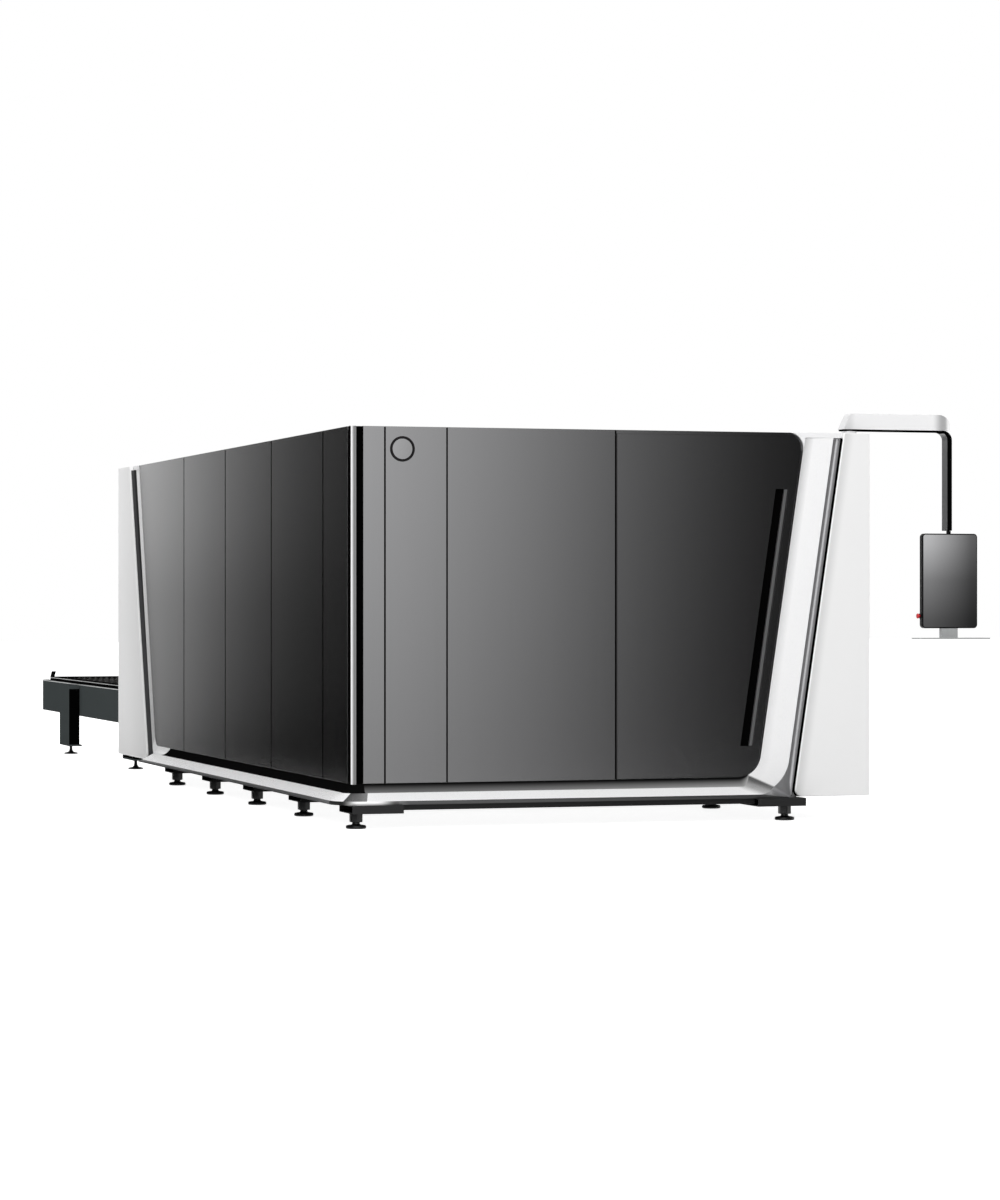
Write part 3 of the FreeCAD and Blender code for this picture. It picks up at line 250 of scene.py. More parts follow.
def turned(name, profile, steps=40, ring=False):
    """A lathe piece about Z from (radius, height) pairs, axis to axis or round a ring's section."""
    bpy.ops.mesh.primitive_circle_add(vertices=len(profile))
    piece = bpy.context.object
    for vertex, (radius, height) in zip(piece.data.vertices, profile):
        vertex.co = (radius, 0, height)
    closing = {0, len(profile) - 1}
    for element in (*piece.data.vertices, *piece.data.edges):
        element.select = False
    for edge in piece.data.edges:
        edge.select = not ring and set(edge.vertices) == closing
    edit(piece)
    bpy.ops.mesh.select_mode(type="EDGE")
    bpy.ops.mesh.delete(type="EDGE")
    bpy.ops.mesh.select_all(action="SELECT")
    bpy.ops.mesh.spin(steps=steps, angle=2 * math.pi, center=(0, 0, 0), axis=(0, 0, 1))
    bpy.ops.mesh.select_mode(type="VERT")
    return done(name, piece)


def joined(name, parts):
    bpy.ops.object.select_all(action="DESELECT")
    for part in parts:
        part.select_set(True)
    bpy.context.view_layer.objects.active = parts[0]
    bpy.ops.object.join()
    parts[0].name = name
    return parts[0]


def copies(piece, places):
    """One piece made of a copy of piece at each place."""
    made = []
    for place in places:
        copy = piece.copy()
        copy.data = piece.data.copy()
        bpy.context.collection.objects.link(copy)
        copy.location = place
        made.append(settle(copy))
    name = piece.name
    bpy.data.objects.remove(piece)
    return joined(name, made)


def stand_up(piece, turn, place):
    """Turns a lathe piece from Z to another axis and puts it in place."""
    piece.rotation_euler = turn
    piece.location = place
    return settle(piece)


# ---------------------------------------- materials

def feed(tree, socket, value):
    """Gives a socket a value, or links it to another node's output."""
    if isinstance(value, bpy.types.NodeSocket):
        tree.links.new(value, socket)
    else:
        socket.default_value = value


def fill(tree, node, **values):
    """Sets a node's own properties or, by input name, feeds its sockets."""
    for key, value in values.items():
        name = key.replace("_", " ")
        if name in node.inputs:
            feed(tree, node.inputs[name], value)
        else:
            setattr(node, key, value)
    return node


def put(tree, kind, **values):
    """Adds a node."""
    return fill(tree, tree.nodes.new(kind), **values)


def math_node(tree, operation, first, second):
    node = put(tree, "ShaderNodeMath", operation=operation)
    feed(tree, node.inputs[0], first)
    feed(tree, node.inputs[1], second)
    return node.outputs[0]


def finish_group(name, **inputs):
    """A group that takes a colour and the given inputs; it puts out colour, roughness, height."""
    tree = bpy.data.node_groups.new(name, "ShaderNodeTree")
    kinds = {1: "NodeSocketFloat", 3: "NodeSocketVector", 4: "NodeSocketColor"}
    for title, value in {"Colour": (0.5, 0.5, 0.5, 1), **inputs}.items():
        kind = kinds[1 if isinstance(value, float) else len(value)]
        made = tree.interface.new_socket(name=title, in_out="INPUT", socket_type=kind)
        made.default_value = value
    for title, count in (("Colour", 4), ("Roughness", 1), ("Height", 1)):
        tree.interface.new_socket(name=title, in_out="OUTPUT", socket_type=kinds[count])
    return tree


def wire_finish(tree, given, slow, fine, rough_swing):
    """Tints the colour by the slow noise; roughness and height come from the fine one."""
    swing = math_node(tree, "SUBTRACT", slow, 0.5)
    tone = math_node(tree, "ADD", math_node(tree, "MULTIPLY", swing, given["Tone"]), 1.0)
    shade = put(tree, "ShaderNodeVectorMath", operation="SCALE", Vector=given["Colour"], Scale=tone)
    swing = math_node(tree, "SUBTRACT", fine, 0.5)
    rough = math_node(tree, "MULTIPLY", swing, rough_swing)
    rough = math_node(tree, "ADD", given["Roughness"], rough)
    put(tree, "NodeGroupOutput", Colour=shade.outputs[0], Roughness=rough, Height=fine)
    return tree


def paint_group():
    """Powder coat: slow changes of tone, fine orange peel in the height and the roughness."""
    tree = finish_group("powder_coat", Tone=0.04, Roughness=0.4, Peel=240.0)
    given = tree.nodes.new("NodeGroupInput").outputs
    place = tree.nodes.new("ShaderNodeTexCoord").outputs["Object"]
    slow = put(tree, "ShaderNodeTexNoise", Vector=place, Scale=1.7, Detail=3.0)
    peel = put(tree, "ShaderNodeTexNoise", Vector=place, Scale=given["Peel"], Detail=2.0)
    return wire_finish(tree, given, slow.outputs["Fac"], peel.outputs["Fac"], 0.08)


def grain_group():
    """Fine straight grain: noise drawn out along one axis by Stretch."""
    tree = finish_group("straight_grain", Stretch=(300, 300, 3), Tone=0.1, Roughness=0.3)
    given = tree.nodes.new("NodeGroupInput").outputs
    place = tree.nodes.new("ShaderNodeTexCoord").outputs["Object"]
    drawn = put(tree, "ShaderNodeVectorMath", operation="MULTIPLY", Vector=place)
    feed(tree, drawn.inputs[1], given["Stretch"])
    lines = put(tree, "ShaderNodeTexNoise", Vector=drawn.outputs[0], Scale=1.0, Detail=4.0)
    return wire_finish(tree, given, lines.outputs["Fac"], lines.outputs["Fac"], 0.04)


powder_coat = paint_group()
straight_grain = grain_group()


def finish(name, colour, bump, group=powder_coat, metallic=0.0, coat=0.0, specular=0.5, **values):
    """A material whose colour, roughness and height come from one of the two groups."""
    material = bpy.data.materials.new(name)
    material.use_nodes = True
    tree = material.node_tree
    look = put(tree, "ShaderNodeGroup", node_tree=group, Colour=(*colour, 1), **values).outputs
    relief = put(tree, "ShaderNodeBump", Strength=bump, Distance=0.0004, Height=look["Height"])
    fill(tree, tree.nodes["Principled BSDF"], Base_Color=look["Colour"],
         Roughness=look["Roughness"], Normal=relief.outputs["Normal"], Metallic=metallic,
         Coat_Weight=coat, Coat_Roughness=0.12, Specular_IOR_Level=specular)
    return material


def turn_to(material, mask, colour):
    """Turns a finish to another colour where the mask, from the same tree, says so."""
    tree = material.node_tree
    base = tree.nodes["Principled BSDF"].inputs["Base Color"]
    mix = put(tree, "ShaderNodeMix", data_type="RGBA")
    for number, value in ((0, mask), (6, base.links[0].from_socket), (7, (*colour, 1))):
        feed(tree, mix.inputs[number], value)
    tree.links.new(mix.outputs[2], base)
    return material


def shaded(material, dark):
    """The same finish, turned to dark where the piece's shade attribute, which holds painted light and
    shade, says so.
    """
    mask = put(material.node_tree, "ShaderNodeAttribute", attribute_name="shade")
    return turn_to(material, mask.outputs["Fac"], dark)


def range_along(tree, direction, start, end, **kind):
    """0 to 1 from start to end, measured along direction in the machine's own frame."""
    place = tree.nodes.new("ShaderNodeTexCoord").outputs["Object"]
    along = put(tree, "ShaderNodeVectorMath", operation="DOT_PRODUCT", Vector=place)
    along.inputs[1].default_value = direction
    share = put(tree, "ShaderNodeMapRange", Value=along.outputs["Value"], From_Min=start,
                From_Max=end, **kind)
    return share.outputs["Result"]


def across_edge(material, direction, start, end, colour):
    """Turns a finish to another colour from start to end along direction."""
    share = range_along(material.node_tree, direction, start, end, interpolation_type="SMOOTHSTEP")
    return turn_to(material, share, colour)


dark_metal = finish("dark_metal_paint", (0.19, 0.19, 0.193), 0.006, straight_grain, metallic=1.0,
    Stretch=(90, 90, 0.6), Tone=0.07, Roughness=0.25)
white_coat = finish("white_coat", (0.86, 0.86, 0.87), 0.04, Tone=0.015, Roughness=0.32)
frame_white = finish("frame_white", (0.90, 0.90, 0.905), 0.03, Tone=0.01, Roughness=0.28)
# Painted shade: the frame turns nearly black where its shade attribute says so, in the valleys, beside
# the dark panels and over the left upright.
shaded(frame_white, (0.012, 0.012, 0.012))
trim_grey = finish("trim_grey", (0.42, 0.42, 0.43), 0.03, metallic=0.6, Tone=0.02, Roughness=0.3)
# Painted reflection and shade: the grey trim darkens where its shade attribute says so, and where it
# stays light it shows painted highlights.
shaded(trim_grey, (0.012, 0.012, 0.012))
# Painted shade: a near-black liner for the shade and the dark panels' reflection in the hollow under
# them; its shade attribute lightens it.
recess_dark = finish("recess_dark", (0.004, 0.004, 0.004), 0.03, specular=0.0,
    Tone=0.02, Roughness=0.6)
shaded(recess_dark, (0.46, 0.46, 0.46))
black_coat = finish("black_coat", (0.004, 0.004, 0.0045), 0.15, specular=0.15,
    Tone=0.1, Roughness=0.42)
deep_black = finish("deep_black", (0.0015, 0.0015, 0.0015), 0.05, specular=0.0,
    Tone=0.05, Roughness=0.6)
bracket_coat = finish("bracket_coat", (0.024, 0.024, 0.0245), 0.1, specular=0.08,
    Tone=0.08, Roughness=0.45)
# Painted shade: brackets behind the near corner turn black.
across_edge(bracket_coat, (0, 1, 0), corner.y + 0.05, corner.y + 0.20, (0.003, 0.003, 0.003))
# Painted highlight: a near-white lip, darkened by its shade attribute except round the near corner.
lip_metal = finish("lip_metal", (0.95, 0.95, 0.95), 0.02, metallic=0.3, Tone=0.01, Roughness=0.3)
shaded(lip_metal, (0.03, 0.03, 0.03))
joint_grey = finish("joint_grey", (0.075, 0.075, 0.078), 0.05, specular=0.1,
    Tone=0.05, Roughness=0.4)
light_steel = finish("light_steel", (0.50, 0.51, 0.51), 0.04, straight_grain, metallic=0.2,
    Stretch=(60, 3, 60), Tone=0.12, Roughness=0.35)
badge_satin = finish("badge_satin", (0.21, 0.21, 0.213), 0.03, straight_grain, metallic=1.0,
    Stretch=(600, 600, 12), Tone=0.06, Roughness=0.25)
screen_glass = finish("screen_glass", (0.30, 0.30, 0.305), 0.0, metallic=1.0,
    Tone=0.01, Roughness=0.06)
foot_steel = finish("foot_steel", (0.005, 0.005, 0.0055), 0.1, specular=0.35,
    Tone=0.1, Roughness=0.36)
table_coat = finish("table_coat", (0.062, 0.071, 0.072), 0.12, specular=0.0,
    Tone=0.12, Roughness=0.42)
# Painted shade: the table's coat turns black above table_edge.
across_edge(table_coat, (0, 0, 1), *table_edge, (0.003, 0.003, 0.003))
pallet_coat = finish("pallet_coat", (0.006, 0.006, 0.006), 0.12, specular=0.0,
    Tone=0.12, Roughness=0.45)
slat_steel = finish("slat_steel", (0.016, 0.0155, 0.015), 0.3, straight_grain, metallic=0.5,
    Stretch=(30, 30, 260), Tone=0.7, Roughness=0.5)
aluminium = finish("aluminium", (0.76, 0.76, 0.77), 0.05, straight_grain, metallic=1.0,
    Stretch=(500, 500, 2), Tone=0.06, Roughness=0.26)
ground_steel = finish("ground_steel", (0.55, 0.55, 0.56), 0.08, straight_grain, metallic=1.0,
    Stretch=(200, 4, 400), Tone=0.15, Roughness=0.28)
satin_grey = finish("satin_grey", (0.20, 0.20, 0.205), 0.06, metallic=0.2,
    Tone=0.04, Roughness=0.35)
bar_grey = finish("bar_grey", (0.17, 0.17, 0.172), 0.04, metallic=0.5, Tone=0.04, Roughness=0.3)
tube_grey = finish("tube_grey", (0.085, 0.085, 0.087), 0.04, metallic=0.5, Tone=0.04, Roughness=0.3)
rubber = finish("seal_rubber", (0.010, 0.010, 0.010), 0.2, Tone=0.15, Roughness=0.7, Peel=500.0)
gloss_black = finish("gloss_black", (0.002, 0.002, 0.002), 0.01, specular=0.12,
    Tone=0.05, Roughness=0.2)
copper = finish("nozzle_copper", (0.72, 0.40, 0.22), 0.05, straight_grain, metallic=1.0,
    Stretch=(900, 900, 900), Tone=0.1, Roughness=0.22)
stop_red = finish("stop_red", (0.62, 0.012, 0.02), 0.03, coat=0.4, Tone=0.04, Roughness=0.3)


def strip_finish():
    """Metal painted bright as a highlight, greying towards the left side and turning black beside the
    post as painted shade.
    """
    across = Vector((0.9665, -0.2565, 0))
    start = across.dot(corner)
    metal = finish("strip_metal", (0.92, 0.92, 0.925), 0.04, straight_grain, specular=0.1,
        Stretch=(400, 400, 2), Tone=0.05, Roughness=0.3)
    # Painted shade: grey across the rest of the rounded strip, black beside the post.
    across_edge(metal, across, start + 0.006, start + 0.021, (0.20, 0.20, 0.202))
    return across_edge(metal, across, start + 0.0045, start + 0.002, (0.002, 0.002, 0.002))


node_finishes = {
    dark_metal: ["front_panel_1", "front_panel_2", "front_panel_3", "left_panels", "door_leaf",
                 "front_top_rail"],
    strip_finish(): ["corner_strip"],
    deep_black: ["corner_post", "door_handle_channel"],
    bracket_coat: ["foot_brackets", "front_base_rail"],
    light_steel: ["keyboard_tray"],
    white_coat: ["rear_wall", "right_wall", "roof_panels", "arm_pedestal"],
    black_coat: ["panel_rails", "monitor_housing", "control_cabinet", "laser_source", "bed_frame",
                 "enclosure_frame"],
    table_coat: ["table_frame"],
    pallet_coat: ["upper_pallet", "lower_pallet"],
    slat_steel: ["upper_slats", "lower_slats"],
    aluminium: ["gantry_beam"],
    satin_grey: ["carriage", "gantry_saddles", "head_slide"],
    bar_grey: ["door_handle_bar"],
    ground_steel: ["bed_guides", "pallet_rails", "door_rail", "door_carriages", "upper_wheels_near",
                   "upper_wheels_far", "lower_wheels_near", "lower_wheels_far", "cutting_head"],
    copper: ["nozzle"],
    rubber: ["door_seal"],
}
soft_edged = ("front_panel_1", "front_panel_2", "front_panel_3", "left_panels", "door_leaf",
              "foot_brackets", "front_base_rail", "table_frame", "monitor_housing", "keyboard_tray",
              "rear_wall", "right_wall", "roof_panels", "upper_pallet", "lower_pallet",
              "door_handle_bar", "gantry_beam", "gantry_saddles", "carriage", "head_slide",
              "cutting_head", "door_handle_channel", "control_cabinet", "laser_source")


def cover(piece, material):
    piece.data.materials.clear()
    piece.data.materials.append(material)


def soften(piece, width):
    """Broken edges on a CAD node, by modifiers only."""
    modify(piece, "WELD", merge_threshold=0.00002)
    modify(piece, "BEVEL", width=width, segments=2, limit_method="ANGLE",
           angle_limit=math.radians(40), use_clamp_overlap=True)


for material, names in node_finishes.items():
    for name in names:
        cover(nodes[name], material)
for name in soft_edged:
    soften(nodes[name], 0.0015)


def dress(piece, material, body="machine", stands_for=()):
    """Gives a new piece its finish, even shading and body, in place of CAD nodes."""
    cover(piece, material)
    pick(piece)
    bpy.ops.object.shade_smooth_by_angle(angle=math.radians(40))
    finish_with(piece, "WEIGHTED_NORMAL", keep_sharp=True, weight=100)
    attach(piece, body)
    if stands_for:
        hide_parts(*stands_for)


def bars(name, material, ends, body="machine"):
    """Like bars as one piece, each between two opposite corners."""
    made = [block("bar", first, second) for first, second in ends]
    dress(joined(name, made), material, body)


# ---------------------------------------- white frame and grey trim

stretch_marks = ((0.0, 0.0), (0.08, 0.95), (0.16, 1.0), (0.86, 2.0), (1.0, 3.0))
# Painted shade across the valley's fold line, by distance from it.
fold_marks = ((-1.0, 0.0), (0.0, 0.0), (0.010, 0.90), (0.024, 0.88), (0.046, 0.68), (0.066, 0.58),
              (0.098, 0.0), (1.0, 0.0))


def stretch(along):
    """Few columns on the straight stretches, most of them round the bend."""
    return between(along, stretch_marks, 0)


class Side:
    """One side of the machine: the rails that its frame follows from the near corner to the top.

    Its values are widths along the side (start, band, groove), the stretch where the ramp turns into the
    band (valley), the measures of its outer panel, and how dark the painted shade of its folds is, with
    its other painted shade, reflections and highlights.
    """

    def __init__(self, name, place, edge, inner_radius, outer_radius, **values):
        self.name = name
        self.place = place
        self.edge = edge
        vars(self).update(values)
        cove = 0.055
        self.inner = self.rail(panel_bottom, 0.0, inner_radius, foot_rise)
        self.crease = self.rail(cove_foot, cove, inner_radius + 0.03)
        self.rim = self.rail(sill_nose_top, self.band, outer_radius)
        self.far = self.rail(sill_foot, self.band + self.groove, 0.015)

    def rail(self, height, across, radius, rise=0.0):
        """Along the foot at a height, round the bend and up beside the slanted edge."""
        return bent_line((self.start, height + rise), (self.edge(height) + across, height + rise),
                         (self.edge(cap_foot) + across, cap_foot), radius)

    def spot(self, along, across):
        """The flat place (u, z) of a point of the white sheet."""
        t = stretch(along)
        if across <= cove_share:
            return self.inner(t).lerp(self.crease(t), 1 - (1 - across / cove_share) ** 1.6)
        return self.crease(t).lerp(self.rim(t), (across - cove_share) / (1 - cove_share))

    def white_point(self, along, across, lift=0.0):
        """The cove beside the dark panels, then the ramp, which turns into the band."""
        t = stretch(along)
        first, last = self.valley
        turn = smooth(share_of(t, first - 0.25, first))
        inner_out = 0.001
        crease_out = cove_out + (0.003 - cove_out) * turn
        rim_out = sill_out + (band_out - sill_out) * smooth(share_of(t, last - 0.45, last))
        if across <= cove_share:
            out = inner_out + (crease_out - inner_out) * (across / cove_share) ** (2 - turn)
        else:
            out = crease_out + (rim_out - crease_out) * (across - cove_share) / (1 - cove_share)
        flat = self.spot(along, across)
        return self.place(flat.x, flat.y, out + lift)

    def white_tone(self, along, across):
        """Painted shade in the valley, where the ramp falls back to the band, beside the panels and, by
        dim, over the upright run.
        """
        t = stretch(along)
        start, end = self.fold
        line = (end - start).normalized()
        reach = self.spot(along, across) - start
        away = -line.y * reach.x + line.x * reach.y
        valley = between(min(max(-away, -1.0), 1.0), fold_marks, 0)
        rise = share_of(t, 2.0, 3.0)
        edge = (1 - share_of(across, 0, cove_share)) ** 1.5 * share_of(t, self.valley[0], 2.0)
        low, high = self.edge_dark
        dim_low, dim_high = self.dim
        plain = (dim_low + (dim_high - dim_low) * rise) * smooth(share_of(t, 1.7, 2.05))
        return min(1.0, max(valley * self.fold_dark, plain + (low + (high - low) * rise) * edge))

    def grey_point(self, along, across):
        """From the rim down the lip and back under the sill, which turns into the groove."""
        t = stretch(along)
        turn = smooth(share_of(t, self.valley[1] - 0.45, self.valley[1]))
        rim_out = sill_out + (band_out - sill_out) * turn
        dish = 0.022 * smooth(share_of(t, 1.55, 2.15))
        far_out = rim_out + (0.004 - rim_out) * turn
        if across <= lip_share:
            share = across / lip_share
            flat = self.rim(t).lerp(self.far(t), share)
            bulge = 0.0015 * math.sin(math.pi * share) * (1 - turn)
            out = rim_out + (far_out - rim_out) * share + bulge
            out -= dish * math.sin(math.pi * share) ** 0.7
        else:
            flat = self.far(t)
            out = far_out + (-0.040 - far_out) * (across - lip_share) / (1 - lip_share)
        return self.place(flat.x, flat.y, out)

    def grey_tone(self, along, across):
        """Painted reflection: the lip is painted dark, and lightens as a painted highlight at the near
        corner and where it turns up; a faint painted highlight runs along it, and the groove gets painted
        shade.
        """
        t = stretch(along)
        near = 1 - smooth(share_of(self.rim(t).x, self.start, self.start + 0.14))
        line = 0.08 * math.sin(math.pi * share_of(across, 0, lip_share))
        up = smooth(share_of(t, 0.9, 1.5))
        low, high = self.groove_dark
        groove = low + (high - low) * share_of(across, 0.1, lip_share * 0.7)
        return max(0.0, self.lip_dark * (1 - max(near, up)) + groove * up - line)


front_side = Side(
    "front", front, front_edge, inner_radius=0.140, outer_radius=0.220,
    inward=Vector((0, 1, 0)), end=right_end, start=0.066, band=0.172, groove=0.045,
    valley=(1.32, 1.48), stands_for=["sill_front"],
    fold=(Vector((2.348, 0.254)), Vector((2.511, 0.183))), fold_dark=1.0,
    edge_dark=(0.12, 0.42), dim=(0.0, 0.0), lip_dark=0.90, groove_dark=(0.0, 0.0),
    shell_out=0.032, shell_foot=0.132, shell_lean=0.0, shell_tones=(0.86, 0.075, 0.70),
    joint_gap=0.0065, bright_edge=0.006, joint_finish=deep_black, filler_finish=satin_grey)
left_side = Side(
    "left", left, left_edge, inner_radius=0.090, outer_radius=0.130,
    inward=Vector((1, 0, 0)), end=rear_end, start=0.060, band=0.070, groove=0.090,
    valley=(1.2, 1.5), stands_for=["sill_left", "left_band"],
    fold=(Vector((5.1, 0.26)), Vector((5.3, 0.18))), fold_dark=0.0,
    edge_dark=(0.0, 0.0), dim=(0.48, 0.10), lip_dark=0.55, groove_dark=(0.55, 0.90),
    shell_out=0.036, shell_foot=0.142, shell_lean=-0.030, shell_tones=(0.95, 0.70, 0.84),
    joint_gap=0.010, bright_edge=0.011, joint_finish=joint_grey, filler_finish=frame_white)


def frame_sheets(side):
    """The white frame of a side, and the grey trim along its outer edge."""
    white = surface(side.name + "_frame", 120, 24, side.white_point, sheet_thickness, side.white_tone)
    dress(white, frame_white, stands_for=side.stands_for)
    grey = surface(side.name + "_trim", 120, 24, side.grey_point, sheet_thickness, side.grey_tone)
    dress(grey, trim_grey, stands_for=[side.name + "_groove"])


def recess(side, end, slant, taper, tone=None):
    """Painted shade: a dark liner over the hollow under the dark panels, with a slanted end or tapered to
    a point.
    """
    lift = 0.0009

    def point(along, across):
        wanted = along * (end + slant * across)
        width = 1 - 0.97 * share_of(wanted, taper, end) if wanted > taper else 1
        return side.white_point(between(wanted, stretch_marks, 1),
                                across * cove_share * 0.96 * width, lift)

    liner = surface(side.name + "_recess", 60, 10, point, liner_thickness, tone)
    dress(liner, recess_dark)


def cap(side, head, far, stands_for=()):
    """White head of a band and its groove; head is its outline beside the dark panels."""
    outline = [*head, (side.edge(top) + far, top), (side.edge(cap_foot) + far, cap_foot),
               (side.edge(cap_foot), cap_foot)]
    made = plate(side.name + "_cap", [side.place(u, z, -0.006) for u, z in outline],
                 side.inward * -0.0142)
    dress(round_edges(made, 0.0015), white_coat, stands_for=stands_for)


def caps():
    """The front cap fills the rounded corner of the dark face; the left one is straight."""
    low = cap_foot - 0.08
    round_corner = bent_line((front_edge(low), low), (front_edge(top), top),
                             (front_edge(top) - 0.2, top), 0.088)
    cap(front_side, arc_of(round_corner, 8), front_side.band + front_side.groove + 0.005,
        ["front_band"])
    cap(left_side, [(left_edge(top), top)], left_side.band + left_side.groove + 0.004)


frame_sheets(front_side)
frame_sheets(left_side)
# The front liner's painted shade lightens towards the ramp and towards its right end; the left one stays
# black.
recess(front_side, 1.32, 0.0, 1.0,
       lambda along, across: share_of(across, 0.15, 1.0) ** 0.8 * (0.38 + 0.62 * along ** 2))
recess(left_side, 0.915, 0.03, 2.0)
caps()


def corner_casting():
    """The quarter turn of the sill at the near corner, its hollow painted black as shade, and its lip
    with a painted highlight.
    """
    centre = Vector((corner.x + sill_start, corner.y + sill_start, 0))
    quarter = corner_radius * math.pi / 2
    proud = 0.0005
    tail = 0.004

    def sweep(along, reach, z, run):
        """A short tail over the left sill, the quarter turn, and a run along the front."""
        place = along * (tail + quarter + run) - tail
        angle = math.pi + min(max(place / corner_radius, 0.0), math.pi / 2)
        ahead = max(0.0, place - quarter)
        back = max(0.0, -place)
        return centre + Vector((reach * math.cos(angle) + ahead, reach * math.sin(angle) + back, z))

    def ramp_point(along, across):
        out = cove_out + (sill_out - cove_out) * across
        z = cove_foot + (sill_nose_top - cove_foot) * across
        return sweep(along, out + sill_start + proud, z, 0.031 - 0.023 * across)

    # Painted shade: the half of the turn towards the front is dark, lightening a little towards the front
    # run.
    def ramp_tone(along, across):
        return 0.0 if along < 0.50 else 0.985 - 0.20 * share_of(along, 0.50, 0.95)

    def hollow_point(along, across):
        out = 0.001 + (cove_out - 0.001) * across ** 2
        head = panel_bottom + foot_rise
        z = head - (head - cove_foot) * (1 - (1 - across) ** 1.6)
        return sweep(along, out + sill_start + 0.0024, z, 0.018)

    def lip_point(along, across):
        share = min(across / lip_share, 1)
        bulge = 0.0015 * math.sin(math.pi * share)
        back = max(0.0, across - lip_share) / (1 - lip_share) * 0.13
        return sweep(along, corner_radius + bulge - back + proud,
                     sill_nose_top - (sill_nose_top - sill_foot) * share, 0.19)

    # Painted highlight: the lip stays light round the near corner and darkens to either side.
    def lip_tone(along, across):
        u = lip_point(along, 0).x - corner.x
        return max(1 - smooth(share_of(u, -0.06, 0.02)), 0.93 * smooth(share_of(u, 0.12, 0.23)))

    ramp = surface("corner_casting", 40, 10, ramp_point, sheet_thickness, ramp_tone)
    dress(ramp, frame_white, stands_for=["sill_corner"])
    # Painted shade: the hollow's black liner.
    hollow = surface("corner_hollow", 30, 9, hollow_point, liner_thickness)
    dress(hollow, recess_dark)
    lip = surface("corner_lip", 60, 16, lip_point, sheet_thickness, lip_tone)
    dress(lip, lip_metal)


def jamb(side, near, far):
    """Slanted black post behind a band."""
    low, high = 0.2, top - 0.08
    outline = [(side.edge(low) + near, low), (side.edge(low) + far, low),
               (side.edge(high) + far, high), (side.edge(high) + near, high)]
    post = plate(side.name + "_jamb", [side.place(u, z, -0.011) for u, z in outline],
                 side.inward * 0.034)
    dress(post, black_coat)


corner_casting()
jamb(front_side, 0.020, 0.172)
jamb(left_side, 0.012, 0.105)


# ---------------------------------------- outer panels and joints

def shell_white(side, edge_low, edge_high):
    """White coat with painted shade towards a panel's slanted edge and a painted highlight on the edge
    itself; each side's copy has its own whiteness, which is painted light too.
    """
    colour, fade, dark = side.shell_tones
    along = (edge_high - edge_low).normalized()
    away = Vector((along.z, 0, -along.x)) if along.x > along.y else Vector((0, along.z, -along.y))
    start = away.dot(edge_low)
    coat = finish(side.name + "_shell_white", (colour, colour, colour), 0.04,
        Tone=0.01, Roughness=0.32)
    # Painted shade fading in towards the slanted edge.
    across_edge(coat, away, start + fade, start + 0.010, (dark, dark, dark))
    # Painted highlight along the slanted edge.
    return across_edge(coat, away, start + 0.009, start + 0.004, (0.95, 0.95, 0.95))


def outer_panel(side):
    """The white outer panel of a side, and the dark joint along its slanted edge, which also stands for
    the shade on the panel's edge face.
    """
    place, out, base, gap = side.place, side.shell_out, side.shell_foot, side.joint_gap
    depth = side.inward * shell_depth
    beside = side.band + side.groove + gap
    head = side.edge(top) + beside
    foot = side.edge(base) + beside + side.shell_lean
    line = bent_line((side.end, base), (foot, base), (head, top), shell_corner)
    outline = [(side.end, top), (side.end, base), *arc_of(line, 12), (head, top)]
    panel = plate(side.name + "_shell", [place(u, z, out) for u, z in outline], depth)
    round_edges(panel, 0.006, segments=4, angle=60)
    dress(panel, shell_white(side, place(foot, base), place(head, top)),
          stands_for=[side.name + "_outer_panel"])

    outside = bent_line((side.end, base - gap), (foot - gap, base - gap), (head - gap, top),
                        shell_corner + gap)
    outline = [(u, max(z, sill_foot)) for u, z in arc_of(outside, 12)[:10]]
    outline.append((foot - gap, sill_foot))
    filler = plate(side.name + "_joint_filler", [place(u, z, 0.004) for u, z in outline],
                   depth * -0.05)
    dress(filler, side.filler_finish)

    inner = bent_line((foot + 0.07, base), (foot, base), line(2.985), shell_corner)
    joint_back = -0.020

    def joint_point(along, across):
        spot = inner(along * 3)
        return place(spot.x - 0.0012, max(spot.y, base + 0.001),
                     joint_back + (out - side.bright_edge - joint_back) * across)

    # The joint's dark colour covers the panel's edge face: a dark joint and painted shade.
    strip = surface(side.name + "_joint", 60, 2, joint_point, 0.0008, offset=0)
    dress(strip, side.joint_finish)


def near_corner():
    """Black fillers over and beside the corner post."""
    post_low, post_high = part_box("corner_post")
    strip_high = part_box("corner_strip")[1]
    panel_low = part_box("front_panel_1")[0]
    head = block("post_head", (strip_high.x - 0.002, post_low.y + 0.004, post_high.z - 0.002),
                 (panel_low.x + 0.004, post_low.y + 0.030, top - 0.0005))
    dress(round_edges(head, 0.001), deep_black)
    filler = block("post_filler", (panel_low.x - 0.005, panel_low.y + 0.0065, panel_bottom),
                   (panel_low.x + 0.005, panel_low.y + 0.018, top - 0.001))
    dress(filler, deep_black)


def seams(name, place, places, width, rise, depth):
    """Black strips over the joints between the dark panels of a face: the joints, and painted shade in
    their gaps.
    """
    bars(name, deep_black,
         [(place(u - width / 2, panel_bottom + rise, -depth), place(u + width / 2, top - 0.003, 0.0004))
          for u in places])


def door_lip():
    """Seal lip on the door's head, up to the rail over it."""
    low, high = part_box("door_leaf")
    lip = block("door_lip", (low.x + 0.004, low.y, high.z - 0.001),
                (corner.x + front_edge(high.z) - 0.025, low.y + 0.006, high.z + 0.0055))
    dress(lip, dark_metal, "door")


outer_panel(front_side)
outer_panel(left_side)
near_corner()
seams("left_joints", left, left_seams, left_seam_width, 0.004, 0.003)
seams("front_joints", front, front_seams, front_seam_width, 0.003, 0.0058)
door_lip()


# ---------------------------------------- badge

